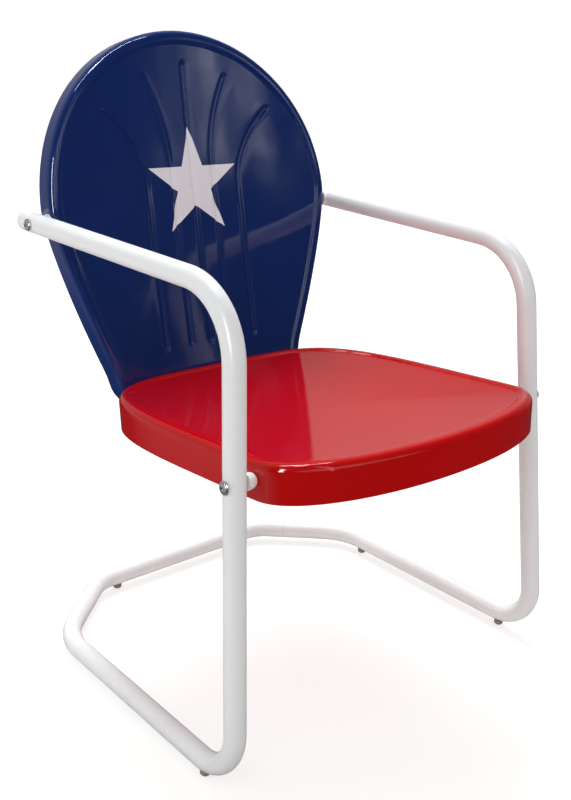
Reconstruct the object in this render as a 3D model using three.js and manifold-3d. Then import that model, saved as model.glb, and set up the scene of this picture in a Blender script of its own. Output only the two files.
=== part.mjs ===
// Metal lawn chair with a springy tube frame, a dished seat and a round-topped backrest.
// Millimetres, +Z up. The chair faces -Y and the sitter's right side is -X.
// The origin is on the ground under the middle of the chair's bounding box.
// Setbacks are measured from the line where legs and runners meet, and the whole chair is
// moved to the origin at the end.

import * as THREE from 'three';
import { mergeVertices } from 'three/addons/utils/BufferGeometryUtils.js';
import Module from 'manifold-3d';

const wasm = await Module();
wasm.setup();

// Steel tube of the frame
const TUBE_DIAMETER = 28;
const TUBE_WALL = 1.6;
const TUBE_SIDES = 12;
const BEND_STEPS = 6;

// Side tubes: arm, leg and runner
const ARM_SPREAD_PER_LENGTH = 0.025;
const ARM_ABOVE_SEAT_HEIGHT = 192.7;
const ARM_CORNER_SETBACK = 67;
const ARM_RISE_PER_LENGTH = 0.024;
const ARM_LENGTH_PAST_BOLT = 29.5;
const ARM_BEND_RADIUS = 95;
const FOOT_BEND_RADIUS = 62;
const FOOT_SPLAY_WIDTH = 34.8;

// Base tube behind the runners
const RUNNER_TOE_IN_WIDTH = 4.9;
const RUNNER_REAR_SETBACK = 416.3;
const REAR_BAR_HALF_WIDTH = 167.4;
const REAR_BAR_SETBACK = 529.3;
const RUNNER_BEND_RADIUS = 100;
const BASE_BEND_RADIUS = 60;
const RIGHT_JOINT_SETBACK = 222;
const LEFT_JOINT_SHARE_OF_CORNER_TUBE = 0.69;
const SLEEVE_LENGTH = 56;
const SLEEVE_WALL = 2;

// Clearances
const FIT_GAP = 0.3;
const END_GAP = 0.9;
const KNUCKLE_MARGIN = 0.5;

// Glides under the base
const GLIDE_HEIGHT = 7.4;
const GLIDE_CHAMFER_HEIGHT = 2.5;
const GLIDE_DIAMETER = 14;
const GLIDE_FOOT_DIAMETER = 10;
const GLIDE_STEM_DIAMETER = 6;
const GLIDE_STEM_LENGTH = 7;
const FRONT_GLIDE_SETBACK = 61;
const REAR_RUNNER_GLIDE_SETBACK = 372;
const REAR_BAR_GLIDE_OFFSET = 131;

// Domed plugs in the arms' rear ends
const PLUG_DOME_HEIGHT = 7;
const PLUG_STEM_LENGTH = 18;
const PLUG_WALL = 2;
const PLUG_DOME_STEPS = 5;

// Pressed steel sheet of the seat and the back
const SHEET_THICKNESS = 1.5;
const OUTLINE_POINTS = 48;
const HALF_OUTLINE_STEPS = 24;
const PAN_SHARES = [0.8, 0.6, 0.4, 0.2];
const RIM_ROLL_RADIUS = 6;
const RIM_ROLL_SHARE = 0.3;
const RIM_BEAD_WIDTH = 13;
const RIM_STEP_WIDTH = 5;

// Seat pan
const SEAT_HALF_WIDTH = 245.5;
const SEAT_FRONT_POWER = 2.08;
const SEAT_REAR_POWER = 4.74;
const SEAT_HEIGHT = 427.3;
const SEAT_SLOPE = 0.068;
const SEAT_FRONT_OFFSET = 54.5;
const SEAT_WIDEST_SETBACK = 41;
const SEAT_SKIRT_DEPTH = 49.5;
const SEAT_DISH_CENTRE_SETBACK = 225;
const SEAT_RIM_STEP_DEPTH = 4;
const SEAT_DISH_DEPTH = 14;
const SEAT_REAR_LEAN = 0.137;

// Back shell, in its own leaning frame: up the back from the seat's height
const BACK_LEAN = 0.2017;
const BACK_SETBACK = 444;
const BACK_BASE_DROP = 27.3;
const BACK_PAST_SEAT_WIDTH = 9.9;
const BACK_TO_SEAT_GAP = 2;
const BACK_WIDEST_HEIGHT = 248.6;
const BACK_TOP_HEIGHT = 500;
const BACK_BOTTOM_DEPTH = 48;
const BACK_BOTTOM_HALF_WIDTH = 157.7;
const BACK_TAPER_POWER = 1.32;
const BACK_CORNER_RADIUS = 48;
const BACK_SKIRT_DEPTH = 33;
const BACK_DISH_CENTRE_HEIGHT = 330;
const BACK_RIM_STEP_DEPTH = 2.5;
const BACK_DISH_DEPTH = 4;
const BACK_CURVE_RADIUS = 2000;

// Five flutes pressed into the back, fanning out to the top
const FLUTE_RADIUS = 4.8;
const FLUTE_LIFT_HEIGHT = 1.5;
const FLUTE_SIDES = 6;
const FLUTE_STRAIGHT_STEPS = 2;
const FLUTE_BEND_STEPS = 4;
const FLUTE_BOTTOM_HEIGHT = 32;
const CENTRE_FLUTE_TOP_HEIGHT = 455;
const MIDDLE_FLUTE_TOP_HEIGHT = 437;
const MIDDLE_FLUTE_TOP_OFFSET = 75;
const MIDDLE_FLUTE_OFFSET = 38;
const MIDDLE_FLUTE_BEND_HEIGHT = 300;
const OUTER_FLUTE_TOP_HEIGHT = 383;
const OUTER_FLUTE_TOP_OFFSET = 149;
const OUTER_FLUTE_OFFSET = 85;
const OUTER_FLUTE_BEND_HEIGHT = 270;

// Bolts that hold seat and back to the tubes, with their bushes, spacers, washers and nuts
const SEAT_BOLT_DROP = 26.3;
const BUSH_DIAMETER = 22;
const BUSH_TIP_DIAMETER = 12;
const BUSH_DOME_STEPS = 4;
const REAR_BOLT_DEPTH = 1.5;
const SPACER_DIAMETER = 25;
const SPACER_LENGTH = 1.5;
const BOLT_DIAMETER = 8;
const BOLT_HEAD_DIAMETER = 14;
const BOLT_HEAD_HEIGHT = 2.6;
const BOLT_HEAD_STEPS = 4;
const BOLT_SOCKET_ACROSS = 5;
const BOLT_SOCKET_DEPTH = 1.5;
const WASHER_DIAMETER = 17;
const WASHER_THICKNESS = 1;
const NUT_ACROSS = 13;
const NUT_HEIGHT = 6.5;
const BOLT_POINT_LENGTH = 3;

// Bolts through the seat's rear skirt and the back's lower edge
const JOIN_BOLT_SPACING = 105;
const JOIN_BOLT_DROP = 22;
const JOIN_BOLT_DIAMETER = 6;
const JOIN_HEAD_ACROSS = 10;
const JOIN_HEAD_HEIGHT = 4;
const JOIN_NUT_HEIGHT = 5;
const JOIN_WASHER_DIAMETER = 14;
const JOIN_GRIP_LENGTH = 3.2;

const ROUND_SIDES = 16;
const HEXAGON_SIDES = 6;

// Values worked out from the sizes above
const TUBE_RADIUS = TUBE_DIAMETER / 2;
const TUBE_BORE_RADIUS = TUBE_RADIUS - TUBE_WALL;
const FACET_SHARE = Math.cos(Math.PI / TUBE_SIDES);
const TUBE_INSIDE_FIT = TUBE_BORE_RADIUS * FACET_SHARE - FIT_GAP;
const TUBE_CENTRE_HEIGHT = GLIDE_HEIGHT + FIT_GAP + TUBE_RADIUS;
const KNUCKLE_RADIUS = TUBE_RADIUS + KNUCKLE_MARGIN;

// Places that follow from the seat: what it stands on, what leans behind it and what runs beside it
const SEAT_BOLT_HEIGHT = SEAT_HEIGHT - SEAT_BOLT_DROP;
const BACK_BASE_HEIGHT = SEAT_HEIGHT - BACK_BASE_DROP;
const ARM_CORNER_HEIGHT = SEAT_HEIGHT + ARM_ABOVE_SEAT_HEIGHT;
const SEAT_REAR_SETBACK = BACK_SETBACK - BACK_TO_SEAT_GAP;
const BACK_HALF_WIDTH = SEAT_HALF_WIDTH + BACK_PAST_SEAT_WIDTH;
const BACK_LEAN_AT_ARMS = Math.tan(BACK_LEAN) * (ARM_CORNER_HEIGHT - BACK_BASE_HEIGHT);
const REAR_BOLT_SETBACK = BACK_SETBACK + BACK_LEAN_AT_ARMS + REAR_BOLT_DEPTH;
const ARM_REAR_SETBACK = REAR_BOLT_SETBACK + ARM_LENGTH_PAST_BOLT;
const BOLT_HALF_WIDTH = BACK_HALF_WIDTH + FIT_GAP + SPACER_LENGTH + END_GAP + TUBE_RADIUS;
const ARM_HALF_WIDTH = BOLT_HALF_WIDTH - ARM_SPREAD_PER_LENGTH * (REAR_BOLT_SETBACK - ARM_CORNER_SETBACK);
const RUNNER_FRONT_HALF_WIDTH = ARM_HALF_WIDTH + FOOT_SPLAY_WIDTH;
const RUNNER_REAR_HALF_WIDTH = RUNNER_FRONT_HALF_WIDTH - RUNNER_TOE_IN_WIDTH;
const LEG_SPLAY = (RUNNER_FRONT_HALF_WIDTH - ARM_HALF_WIDTH) / (ARM_CORNER_HEIGHT - TUBE_CENTRE_HEIGHT);
const CUTTER_SIZE = 4 * (ARM_REAR_SETBACK + ARM_CORNER_HEIGHT);

const WHITE_ENAMEL = { color: 0xeceae6, roughness: 0.28, metalness: 0.0 };
const RED_ENAMEL = { color: 0xc10e14, roughness: 0.14, metalness: 0.0 };
const BLUE_ENAMEL = { color: 0x14235a, roughness: 0.14, metalness: 0.0 };
const ZINC = { color: 0xb9bab8, roughness: 0.32, metalness: 1.0 };
const BARE_STEEL = { color: 0x8f8f8c, roughness: 0.45, metalness: 1.0 };
const GLIDE_PLASTIC = { color: 0x6a5b4c, roughness: 0.55, metalness: 0.0 };
const WHITE_PLASTIC = { color: 0xe9e8e4, roughness: 0.4, metalness: 0.0 };

const chair = new THREE.Group();
const body = new THREE.Group();
chair.add(body);

/** Adds one named piece to the chair. */
function addPiece(name, geometry, finish) {
  const mesh = new THREE.Mesh(geometry, new THREE.MeshStandardMaterial(finish));
  mesh.name = name;
  body.add(mesh);
  return mesh;
}

/** Turns a closed geometry into a solid that can be cut and joined. */
function toSolid(geometry) {
  const plain = geometry.clone();
  plain.deleteAttribute('normal');
  plain.deleteAttribute('uv');
  const merged = mergeVertices(plain);
  const triangles = merged.index ? merged.index.array : [...merged.attributes.position.array.keys()];
  return new wasm.Manifold(new wasm.Mesh({
    numProp: 3,
    vertProperties: new Float32Array(merged.attributes.position.array),
    triVerts: new Uint32Array(triangles),
  }));
}

/** Turns a solid back into a geometry. */
function toGeometry(solid) {
  const mesh = solid.getMesh();
  const geometry = new THREE.BufferGeometry();
  geometry.setAttribute('position', new THREE.BufferAttribute(new Float32Array(mesh.vertProperties), 3));
  geometry.setIndex(new THREE.BufferAttribute(new Uint32Array(mesh.triVerts), 1));
  geometry.computeVertexNormals();
  return geometry;
}

/** The shape of a round bar lying along X with its middle at the given point. */
function roundAlongX(radius, length, centre, sides = ROUND_SIDES) {
  const bar = new THREE.CylinderGeometry(radius, radius, length, sides);
  bar.rotateZ(Math.PI / 2);
  bar.translate(centre.x, centre.y, centre.z);
  return bar;
}

/** A round bar lying along X, as a solid. */
function barAlongX(radius, length, centre, sides) {
  return toSolid(roundAlongX(radius, length, centre, sides));
}

/** A round bar standing along Z, from one height to another. */
function barAlongZ(radius, bottom, top, x, y) {
  const bar = new THREE.CylinderGeometry(radius, radius, top - bottom, ROUND_SIDES);
  bar.rotateX(Math.PI / 2);
  bar.translate(x, y, (top + bottom) / 2);
  return toSolid(bar);
}

/** A centre line known at a few stations only, so that a sweep has a section at each of them. */
class StationPath extends THREE.Curve {
  constructor() {
    super();
    this.stations = [];
  }

  stationAt(share) {
    return this.stations[Math.round(share * (this.stations.length - 1))];
  }

  getPointAt(share) {
    return this.stationAt(share).point.clone();
  }

  getTangentAt(share) {
    return this.stationAt(share).tangent.clone();
  }
}

/** A bent tube's centre line: straights joined by round bends, with stations only where it turns. */
class BentTubePath extends StationPath {
  constructor(corners, radii) {
    super();
    this.addEnd(corners[0], corners[0], corners[1]);
    for (let i = 1; i < corners.length - 1; i += 1) {
      this.addBend(corners[i - 1], corners[i], corners[i + 1], radii[i - 1]);
    }
    const last = corners.length - 1;
    this.addEnd(corners[last], corners[last - 1], corners[last]);
  }

  addEnd(point, from, to) {
    this.stations.push({ point: point.clone(), tangent: to.clone().sub(from).normalize() });
  }

  addBend(before, corner, after, radius) {
    const incoming = corner.clone().sub(before).normalize();
    const outgoing = after.clone().sub(corner).normalize();
    const turn = incoming.angleTo(outgoing);
    const inward = outgoing.clone().addScaledVector(incoming, -outgoing.dot(incoming)).normalize();
    const start = corner.clone().addScaledVector(incoming, -radius * Math.tan(turn / 2));
    const centre = start.clone().addScaledVector(inward, radius);
    for (let step = 0; step <= BEND_STEPS; step += 1) {
      const angle = turn * step / BEND_STEPS;
      const point = centre.clone()
        .addScaledVector(inward, -radius * Math.cos(angle))
        .addScaledVector(incoming, radius * Math.sin(angle));
      const tangent = incoming.clone().multiplyScalar(Math.cos(angle))
        .addScaledVector(inward, Math.sin(angle));
      this.stations.push({ point, tangent });
    }
  }
}

/** A centre line through given points, turning evenly at each of them. */
class PointPath extends StationPath {
  constructor(points) {
    super();
    this.stations = points.map((point, i) => {
      const before = points[Math.max(i - 1, 0)];
      const after = points[Math.min(i + 1, points.length - 1)];
      return { point, tangent: after.clone().sub(before).normalize() };
    });
  }
}

/** A hollow round tube swept along a bent path. */
function sweptTube(path, outerRadius, boreRadius) {
  const section = new THREE.Shape();
  section.absarc(0, 0, outerRadius, 0, 2 * Math.PI, false);
  const bore = new THREE.Path();
  bore.absarc(0, 0, boreRadius, 0, 2 * Math.PI, true);
  section.holes.push(bore);
  return toSolid(new THREE.ExtrudeGeometry(section, {
    steps: path.stations.length - 1,
    curveSegments: TUBE_SIDES / 2,
    extrudePath: path,
  }));
}

/** Centre-line corners of one side of the frame; side is -1 on the sitter's right and 1 on the left. */
function sideCorners(side) {
  const armLength = ARM_REAR_SETBACK - ARM_CORNER_SETBACK;
  const height = TUBE_CENTRE_HEIGHT;
  return {
    armEnd: new THREE.Vector3(
      side * (ARM_HALF_WIDTH + ARM_SPREAD_PER_LENGTH * armLength),
      ARM_REAR_SETBACK,
      ARM_CORNER_HEIGHT + ARM_RISE_PER_LENGTH * armLength,
    ),
    armCorner: new THREE.Vector3(side * ARM_HALF_WIDTH, ARM_CORNER_SETBACK, ARM_CORNER_HEIGHT),
    foot: new THREE.Vector3(side * RUNNER_FRONT_HALF_WIDTH, 0, height),
    runnerRear: new THREE.Vector3(side * RUNNER_REAR_HALF_WIDTH, RUNNER_REAR_SETBACK, height),
    rearBarEnd: new THREE.Vector3(side * REAR_BAR_HALF_WIDTH, REAR_BAR_SETBACK, height),
  };
}

const right = sideCorners(-1);
const left = sideCorners(1);

/** The point of the line from a to b at the given share of its length. */
function between(a, b, share) {
  return a.clone().lerp(b, share);
}

/** The point of a leg's centre line at a height. */
function legPoint(corners, height) {
  const share = (height - corners.foot.z) / (corners.armCorner.z - corners.foot.z);
  return between(corners.foot, corners.armCorner, share);
}

/** The point of an arm's centre line at a setback. */
function armPoint(corners, setback) {
  const share = (setback - corners.armCorner.y) / (corners.armEnd.y - corners.armCorner.y);
  return between(corners.armCorner, corners.armEnd, share);
}

/** The point of a runner's centre line at a setback. */
function runnerPoint(corners, setback) {
  return between(corners.foot, corners.runnerRear, (setback - corners.foot.y) / corners.runnerRear.y);
}

const rightJoint = runnerPoint(right, RIGHT_JOINT_SETBACK);
const leftJoint = between(left.runnerRear, left.rearBarEnd, LEFT_JOINT_SHARE_OF_CORNER_TUBE);

/** The middle of a foot bend, where the frame's spring is taken to act. */
function springPoint(path) {
  const middle = path.stations[1 + (BEND_STEPS + 1) + BEND_STEPS / 2];
  return { point: middle.point, lean: Math.atan2(middle.tangent.z, middle.tangent.y) };
}

/** Everything above the spring line: a large block whose lower face crosses the foot bend square. */
function blockAboveSpring(spring) {
  const block = new THREE.BoxGeometry(CUTTER_SIZE, CUTTER_SIZE, CUTTER_SIZE);
  block.translate(0, -CUTTER_SIZE / 2, 0);
  block.rotateX(spring.lean);
  block.translate(0, spring.point.y, spring.point.z);
  return toSolid(block);
}

/** Small vertical hole in a tube's underside for a glide's stem. */
function glideHole(point) {
  return barAlongZ(GLIDE_STEM_DIAMETER / 2 + FIT_GAP, 0, TUBE_CENTRE_HEIGHT, point.x, point.y);
}

/** Hole along X for a frame bolt. */
function boltHole(point) {
  return barAlongX(BOLT_DIAMETER / 2 + FIT_GAP, 2 * TUBE_DIAMETER, point);
}

const glidePoints = {
  right_front_glide: runnerPoint(right, FRONT_GLIDE_SETBACK),
  left_front_glide: runnerPoint(left, FRONT_GLIDE_SETBACK),
  rear_bar_glide: new THREE.Vector3(-REAR_BAR_GLIDE_OFFSET, REAR_BAR_SETBACK, TUBE_CENTRE_HEIGHT),
  left_rear_glide: runnerPoint(left, REAR_RUNNER_GLIDE_SETBACK),
};

/** One side of the frame, parted at the spring line into arm with leg, and foot with runner. */
function addSideTube(name, corners, pathCorners, radii, glides) {
  const path = new BentTubePath(pathCorners, radii);
  const tube = sweptTube(path, TUBE_RADIUS, TUBE_BORE_RADIUS);
  const spring = springPoint(path);
  const above = blockAboveSpring(spring);
  const knuckle = barAlongX(KNUCKLE_RADIUS, CUTTER_SIZE, spring.point, 2 * ROUND_SIDES);
  const hollow = barAlongX(KNUCKLE_RADIUS + FIT_GAP, CUTTER_SIZE, spring.point, 2 * ROUND_SIDES);
  const upper = tube.intersect(above.add(knuckle))
    .subtract(boltHole(legPoint(corners, SEAT_BOLT_HEIGHT)))
    .subtract(boltHole(armPoint(corners, REAR_BOLT_SETBACK)));
  let lower = tube.subtract(above).subtract(hollow);
  for (const point of glides) {
    lower = lower.subtract(glideHole(point));
  }
  addPiece(`${name}_arm_and_leg_tube`, toGeometry(upper), WHITE_ENAMEL);
  addPiece(`${name}_foot_and_runner_tube`, toGeometry(lower), WHITE_ENAMEL);
}

/** The tube that closes the base behind the sitter's right runner. */
function addBaseTube() {
  const gap = FIT_GAP / 2;
  const start = rightJoint.clone().add(right.runnerRear.clone().sub(rightJoint).setLength(gap));
  const end = leftJoint.clone().add(left.rearBarEnd.clone().sub(leftJoint).setLength(gap));
  const corners = [start, right.runnerRear, right.rearBarEnd, left.rearBarEnd, end];
  const bends = [RUNNER_BEND_RADIUS, BASE_BEND_RADIUS, BASE_BEND_RADIUS];
  const tube = sweptTube(new BentTubePath(corners, bends), TUBE_RADIUS, TUBE_BORE_RADIUS)
    .subtract(glideHole(glidePoints.rear_bar_glide));
  addPiece('rear_base_tube', toGeometry(tube), WHITE_ENAMEL);
}

/** A short sleeve pressed inside two tubes where they meet. */
function addSleeve(name, centre, towards) {
  const reach = towards.clone().sub(centre).setLength(SLEEVE_LENGTH / 2);
  const path = new BentTubePath([centre.clone().sub(reach), centre.clone().add(reach)], []);
  const outerRadius = TUBE_INSIDE_FIT;
  addPiece(name, toGeometry(sweptTube(path, outerRadius, outerRadius - SLEEVE_WALL)), BARE_STEEL);
}

/** Solid of revolution from radius and height pairs, standing on Z. */
function turned(profile, sides = ROUND_SIDES) {
  const points = profile.map(([radius, height]) => new THREE.Vector2(radius, height));
  const body = new THREE.LatheGeometry(points, sides);
  body.rotateX(Math.PI / 2);
  return body;
}

/** Glide: a flat-bottomed button with a stem pushed into the tube. */
function addGlide(name, point) {
  const headRadius = GLIDE_DIAMETER / 2;
  const stemRadius = GLIDE_STEM_DIAMETER / 2;
  const glide = addPiece(name, turned([
    [0, 0],
    [GLIDE_FOOT_DIAMETER / 2, 0],
    [headRadius, GLIDE_CHAMFER_HEIGHT],
    [headRadius, GLIDE_HEIGHT],
    [stemRadius, GLIDE_HEIGHT],
    [stemRadius, GLIDE_HEIGHT + GLIDE_STEM_LENGTH],
    [0, GLIDE_HEIGHT + GLIDE_STEM_LENGTH],
  ]), GLIDE_PLASTIC);
  glide.position.set(point.x, point.y, 0);
}

/** Domed plug closing an arm's rear end: a thin-walled cup pushed into the bore. */
function addArmPlug(name, corners) {
  const stemRadius = TUBE_INSIDE_FIT;
  const profile = [[0, -PLUG_WALL], [stemRadius - PLUG_WALL, -PLUG_WALL]];
  profile.push([stemRadius - PLUG_WALL, -PLUG_STEM_LENGTH], [stemRadius, -PLUG_STEM_LENGTH]);
  profile.push([stemRadius, FIT_GAP], [TUBE_RADIUS, FIT_GAP]);
  for (let i = 1; i < PLUG_DOME_STEPS; i += 1) {
    const angle = Math.PI / 2 * i / PLUG_DOME_STEPS;
    profile.push([TUBE_RADIUS * Math.cos(angle), FIT_GAP + PLUG_DOME_HEIGHT * Math.sin(angle)]);
  }
  profile.push([0, FIT_GAP + PLUG_DOME_HEIGHT]);
  const plug = addPiece(name, turned(profile), WHITE_PLASTIC);
  plug.position.copy(corners.armEnd);
  const direction = corners.armEnd.clone().sub(corners.armCorner).normalize();
  plug.quaternion.setFromUnitVectors(new THREE.Vector3(0, 0, 1), direction);
}

/** Outline points with their outward directions, evenly spaced round a closed loop. */
function outlineFrom(halfPoints) {
  const mirrored = halfPoints.slice(1, -1).reverse().map((point) => new THREE.Vector2(-point.x, point.y));
  const loop = new THREE.Path().setFromPoints([...halfPoints, ...mirrored, halfPoints[0]]);
  const points = loop.getSpacedPoints(OUTLINE_POINTS).slice(0, OUTLINE_POINTS);
  return points.map((point, i) => {
    const before = points[(i + OUTLINE_POINTS - 1) % OUTLINE_POINTS];
    const after = points[(i + 1) % OUTLINE_POINTS];
    const along = after.clone().sub(before).normalize();
    return { point, outward: new THREE.Vector2(along.y, -along.x) };
  });
}

/** A run of points whose place along the run is given by a formula. */
function pointRun(formula) {
  return Array.from({ length: HALF_OUTLINE_STEPS + 1 }, (_, i) => {
    const [x, y] = formula(i / HALF_OUTLINE_STEPS);
    return new THREE.Vector2(x, y);
  });
}

/** Seat outline seen from above: a bowed front, and sides that round into a nearly straight rear. */
function seatOutline() {
  const frontReach = SEAT_FRONT_OFFSET + SEAT_WIDEST_SETBACK;
  const rearReach = SEAT_REAR_SETBACK - SEAT_WIDEST_SETBACK;
  const front = pointRun((share) => {
    const across = Math.sin(share * Math.PI / 2) ** (2 / SEAT_FRONT_POWER);
    const ahead = Math.cos(share * Math.PI / 2) ** (2 / SEAT_FRONT_POWER);
    return [SEAT_HALF_WIDTH * across, SEAT_WIDEST_SETBACK - frontReach * ahead];
  });
  const rear = pointRun((share) => {
    const across = Math.cos(share * Math.PI / 2) ** (2 / SEAT_REAR_POWER);
    const behind = Math.sin(share * Math.PI / 2) ** (2 / SEAT_REAR_POWER);
    return [SEAT_HALF_WIDTH * across, SEAT_WIDEST_SETBACK + rearReach * behind];
  });
  return outlineFrom([...front, ...rear.slice(1)]);
}

/** Half the width of the back at a distance up from the seat's height, below its widest place. */
function backHalfWidth(up) {
  const share = Math.max((BACK_WIDEST_HEIGHT - up) / (BACK_WIDEST_HEIGHT + BACK_BOTTOM_DEPTH), 0);
  const narrowing = BACK_HALF_WIDTH - BACK_BOTTOM_HALF_WIDTH;
  return BACK_HALF_WIDTH - narrowing * share ** BACK_TAPER_POWER;
}

/** Back outline: flat bottom edge, round corners, sides widening upwards, half-round top. */
function backOutline() {
  const cornerTop = BACK_CORNER_RADIUS - BACK_BOTTOM_DEPTH;
  const cornerX = backHalfWidth(cornerTop) - BACK_CORNER_RADIUS;
  const bottom = pointRun((share) => [cornerX * share, -BACK_BOTTOM_DEPTH]);
  const corner = pointRun((share) => [
    cornerX + BACK_CORNER_RADIUS * Math.sin(share * Math.PI / 2),
    cornerTop - BACK_CORNER_RADIUS * Math.cos(share * Math.PI / 2),
  ]);
  const side = pointRun((share) => {
    const up = cornerTop + (BACK_WIDEST_HEIGHT - cornerTop) * share;
    return [backHalfWidth(up), up];
  });
  const top = pointRun((share) => [
    BACK_HALF_WIDTH * Math.cos(share * Math.PI / 2),
    BACK_WIDEST_HEIGHT + (BACK_TOP_HEIGHT - BACK_WIDEST_HEIGHT) * Math.sin(share * Math.PI / 2),
  ]);
  return outlineFrom([...bottom, ...corner.slice(1), ...side.slice(1), ...top.slice(1)]);
}

/** Cross-section of a pressed rim from the skirt's edge inwards: inset from the outline and height. */
function rimProfile(skirt, step) {
  const innerEdge = RIM_BEAD_WIDTH + RIM_STEP_WIDTH;
  return [
    { inset: 0, rise: -skirt },
    { inset: 0, rise: -RIM_ROLL_RADIUS },
    { inset: RIM_ROLL_RADIUS * RIM_ROLL_SHARE, rise: -RIM_ROLL_RADIUS * RIM_ROLL_SHARE },
    { inset: RIM_ROLL_RADIUS, rise: 0 },
    { inset: RIM_BEAD_WIDTH, rise: 0 },
    { inset: innerEdge, rise: -step },
    { inset: innerEdge + RIM_STEP_WIDTH, rise: -step },
  ];
}

/** The underside of a rim section: the same section moved in by the sheet's thickness. */
function offsetProfile(profile, thickness) {
  return profile.map((here, i) => {
    const before = profile[Math.max(i - 1, 0)];
    const after = profile[Math.min(i + 1, profile.length - 1)];
    const into = new THREE.Vector2(here.inset - before.inset, here.rise - before.rise).normalize();
    const out = new THREE.Vector2(after.inset - here.inset, after.rise - here.rise).normalize();
    const mean = into.add(out).normalize();
    return { inset: here.inset + thickness * mean.y, rise: here.rise - thickness * mean.x };
  });
}

/**
 * Rings of points of one face of a pressed shell, from its edge to its centre.
 * The shape gives outline, centre, dish depth, lean of the skirt and bow of the whole sheet.
 */
function shellRings(shape, profile, thickness) {
  const rings = profile.map(({ inset, rise }) => shape.outline.map(({ point, outward }) => {
    const lean = shape.skirtLean(outward) * Math.max(-rise - RIM_ROLL_RADIUS, 0);
    const x = point.x - outward.x * (inset + lean);
    const y = point.y - outward.y * (inset + lean);
    return new THREE.Vector3(x, y, rise + shape.bow(x));
  }));
  const inner = profile[profile.length - 1];
  for (const share of PAN_SHARES) {
    rings.push(shape.outline.map(({ point, outward }) => {
      const x = (point.x - outward.x * inner.inset) * share;
      const edgeY = point.y - outward.y * inner.inset;
      const y = shape.centre + (edgeY - shape.centre) * share;
      return new THREE.Vector3(x, y, panHeight(shape, share) - thickness + shape.bow(x));
    }));
  }
  return rings;
}

/** Height of the dished pan at a share of the way from its centre to its edge. */
function panHeight(shape, share) {
  return -shape.step - shape.dish * (1 - share * share);
}

/** Joins rings into the triangles of a closed skin with a middle point on each face. */
function skinFromRings(topRings, underRings, topCentre, underCentre) {
  const rings = [...topRings.slice().reverse(), ...underRings];
  const count = OUTLINE_POINTS;
  const positions = [topCentre, ...rings.flat(), underCentre].flatMap((point) => point.toArray());
  const indices = [];
  const lastRing = rings.length - 1;
  const underIndex = 1 + rings.length * count;
  for (let i = 0; i < count; i += 1) {
    const next = (i + 1) % count;
    indices.push(0, 1 + i, 1 + next);
    for (let ring = 0; ring < lastRing; ring += 1) {
      const a = 1 + ring * count + i;
      const b = 1 + ring * count + next;
      indices.push(a, a + count, b, b, a + count, b + count);
    }
    indices.push(underIndex, 1 + lastRing * count + next, 1 + lastRing * count + i);
  }
  const geometry = new THREE.BufferGeometry();
  geometry.setAttribute('position', new THREE.Float32BufferAttribute(positions, 3));
  geometry.setIndex(indices);
  return geometry;
}

/** A pressed sheet shell with its turned-down skirt. */
function pressedShell(shape, skirt) {
  const profile = rimProfile(skirt, shape.step);
  const under = offsetProfile(profile, SHEET_THICKNESS);
  const centreHeight = panHeight(shape, 0);
  return toSolid(skinFromRings(
    shellRings(shape, profile, 0),
    shellRings(shape, under, SHEET_THICKNESS),
    new THREE.Vector3(0, shape.centre, centreHeight),
    new THREE.Vector3(0, shape.centre, centreHeight - SHEET_THICKNESS),
  ));
}

const seatShape = {
  outline: seatOutline(),
  centre: SEAT_DISH_CENTRE_SETBACK,
  step: SEAT_RIM_STEP_DEPTH,
  dish: SEAT_DISH_DEPTH,
  skirtLean: (outward) => SEAT_REAR_LEAN * Math.max(outward.y, 0) ** 2,
  bow: () => 0,
};

const backShape = {
  outline: backOutline(),
  centre: BACK_DISH_CENTRE_HEIGHT,
  step: BACK_RIM_STEP_DEPTH,
  dish: BACK_DISH_DEPTH,
  skirtLean: () => 0,
  bow: (x) => x * x / (2 * BACK_CURVE_RADIUS),
};

/** Places of the two shells: the seat slopes down to the rear and the back leans away from it. */
const seatPlace = new THREE.Group();
seatPlace.position.z = SEAT_HEIGHT;
seatPlace.rotation.x = -SEAT_SLOPE;
const backPlace = new THREE.Group();
backPlace.position.set(0, BACK_SETBACK, BACK_BASE_HEIGHT);
backPlace.rotation.x = Math.PI / 2 - BACK_LEAN;
body.add(seatPlace, backPlace);
chair.updateMatrixWorld(true);

const frontBoltPoints = {
  right: legPoint(right, SEAT_BOLT_HEIGHT),
  left: legPoint(left, SEAT_BOLT_HEIGHT),
};
const rearBoltPoints = {
  right: armPoint(right, REAR_BOLT_SETBACK),
  left: armPoint(left, REAR_BOLT_SETBACK),
};
const joinBoltOffsets = [-JOIN_BOLT_SPACING, 0, JOIN_BOLT_SPACING];

/** A bar square to the back, through the seat's rear skirt and the back's lower edge. */
function joinBoltHole(offset) {
  const radius = JOIN_BOLT_DIAMETER / 2 + FIT_GAP;
  const bar = new THREE.CylinderGeometry(radius, radius, 2 * BACK_SKIRT_DEPTH, ROUND_SIDES);
  bar.rotateX(Math.PI / 2);
  bar.translate(offset, -JOIN_BOLT_DROP, 0);
  return bar.applyMatrix4(backPlace.matrixWorld);
}

/** Seat shell: the pressed sheet with holes for the leg bolts and the join bolts. */
function addSeatShell() {
  const toSeat = seatPlace.matrixWorld.clone().invert();
  let shell = pressedShell(seatShape, SEAT_SKIRT_DEPTH);
  for (const point of Object.values(frontBoltPoints)) {
    const hole = roundAlongX(BOLT_DIAMETER / 2 + FIT_GAP, 2 * SEAT_SKIRT_DEPTH, point);
    shell = shell.subtract(toSolid(hole.applyMatrix4(toSeat)));
  }
  for (const offset of joinBoltOffsets) {
    shell = shell.subtract(toSolid(joinBoltHole(offset).applyMatrix4(toSeat)));
  }
  seatPlace.add(addPiece('seat_shell', toGeometry(shell), RED_ENAMEL));
}

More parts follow.
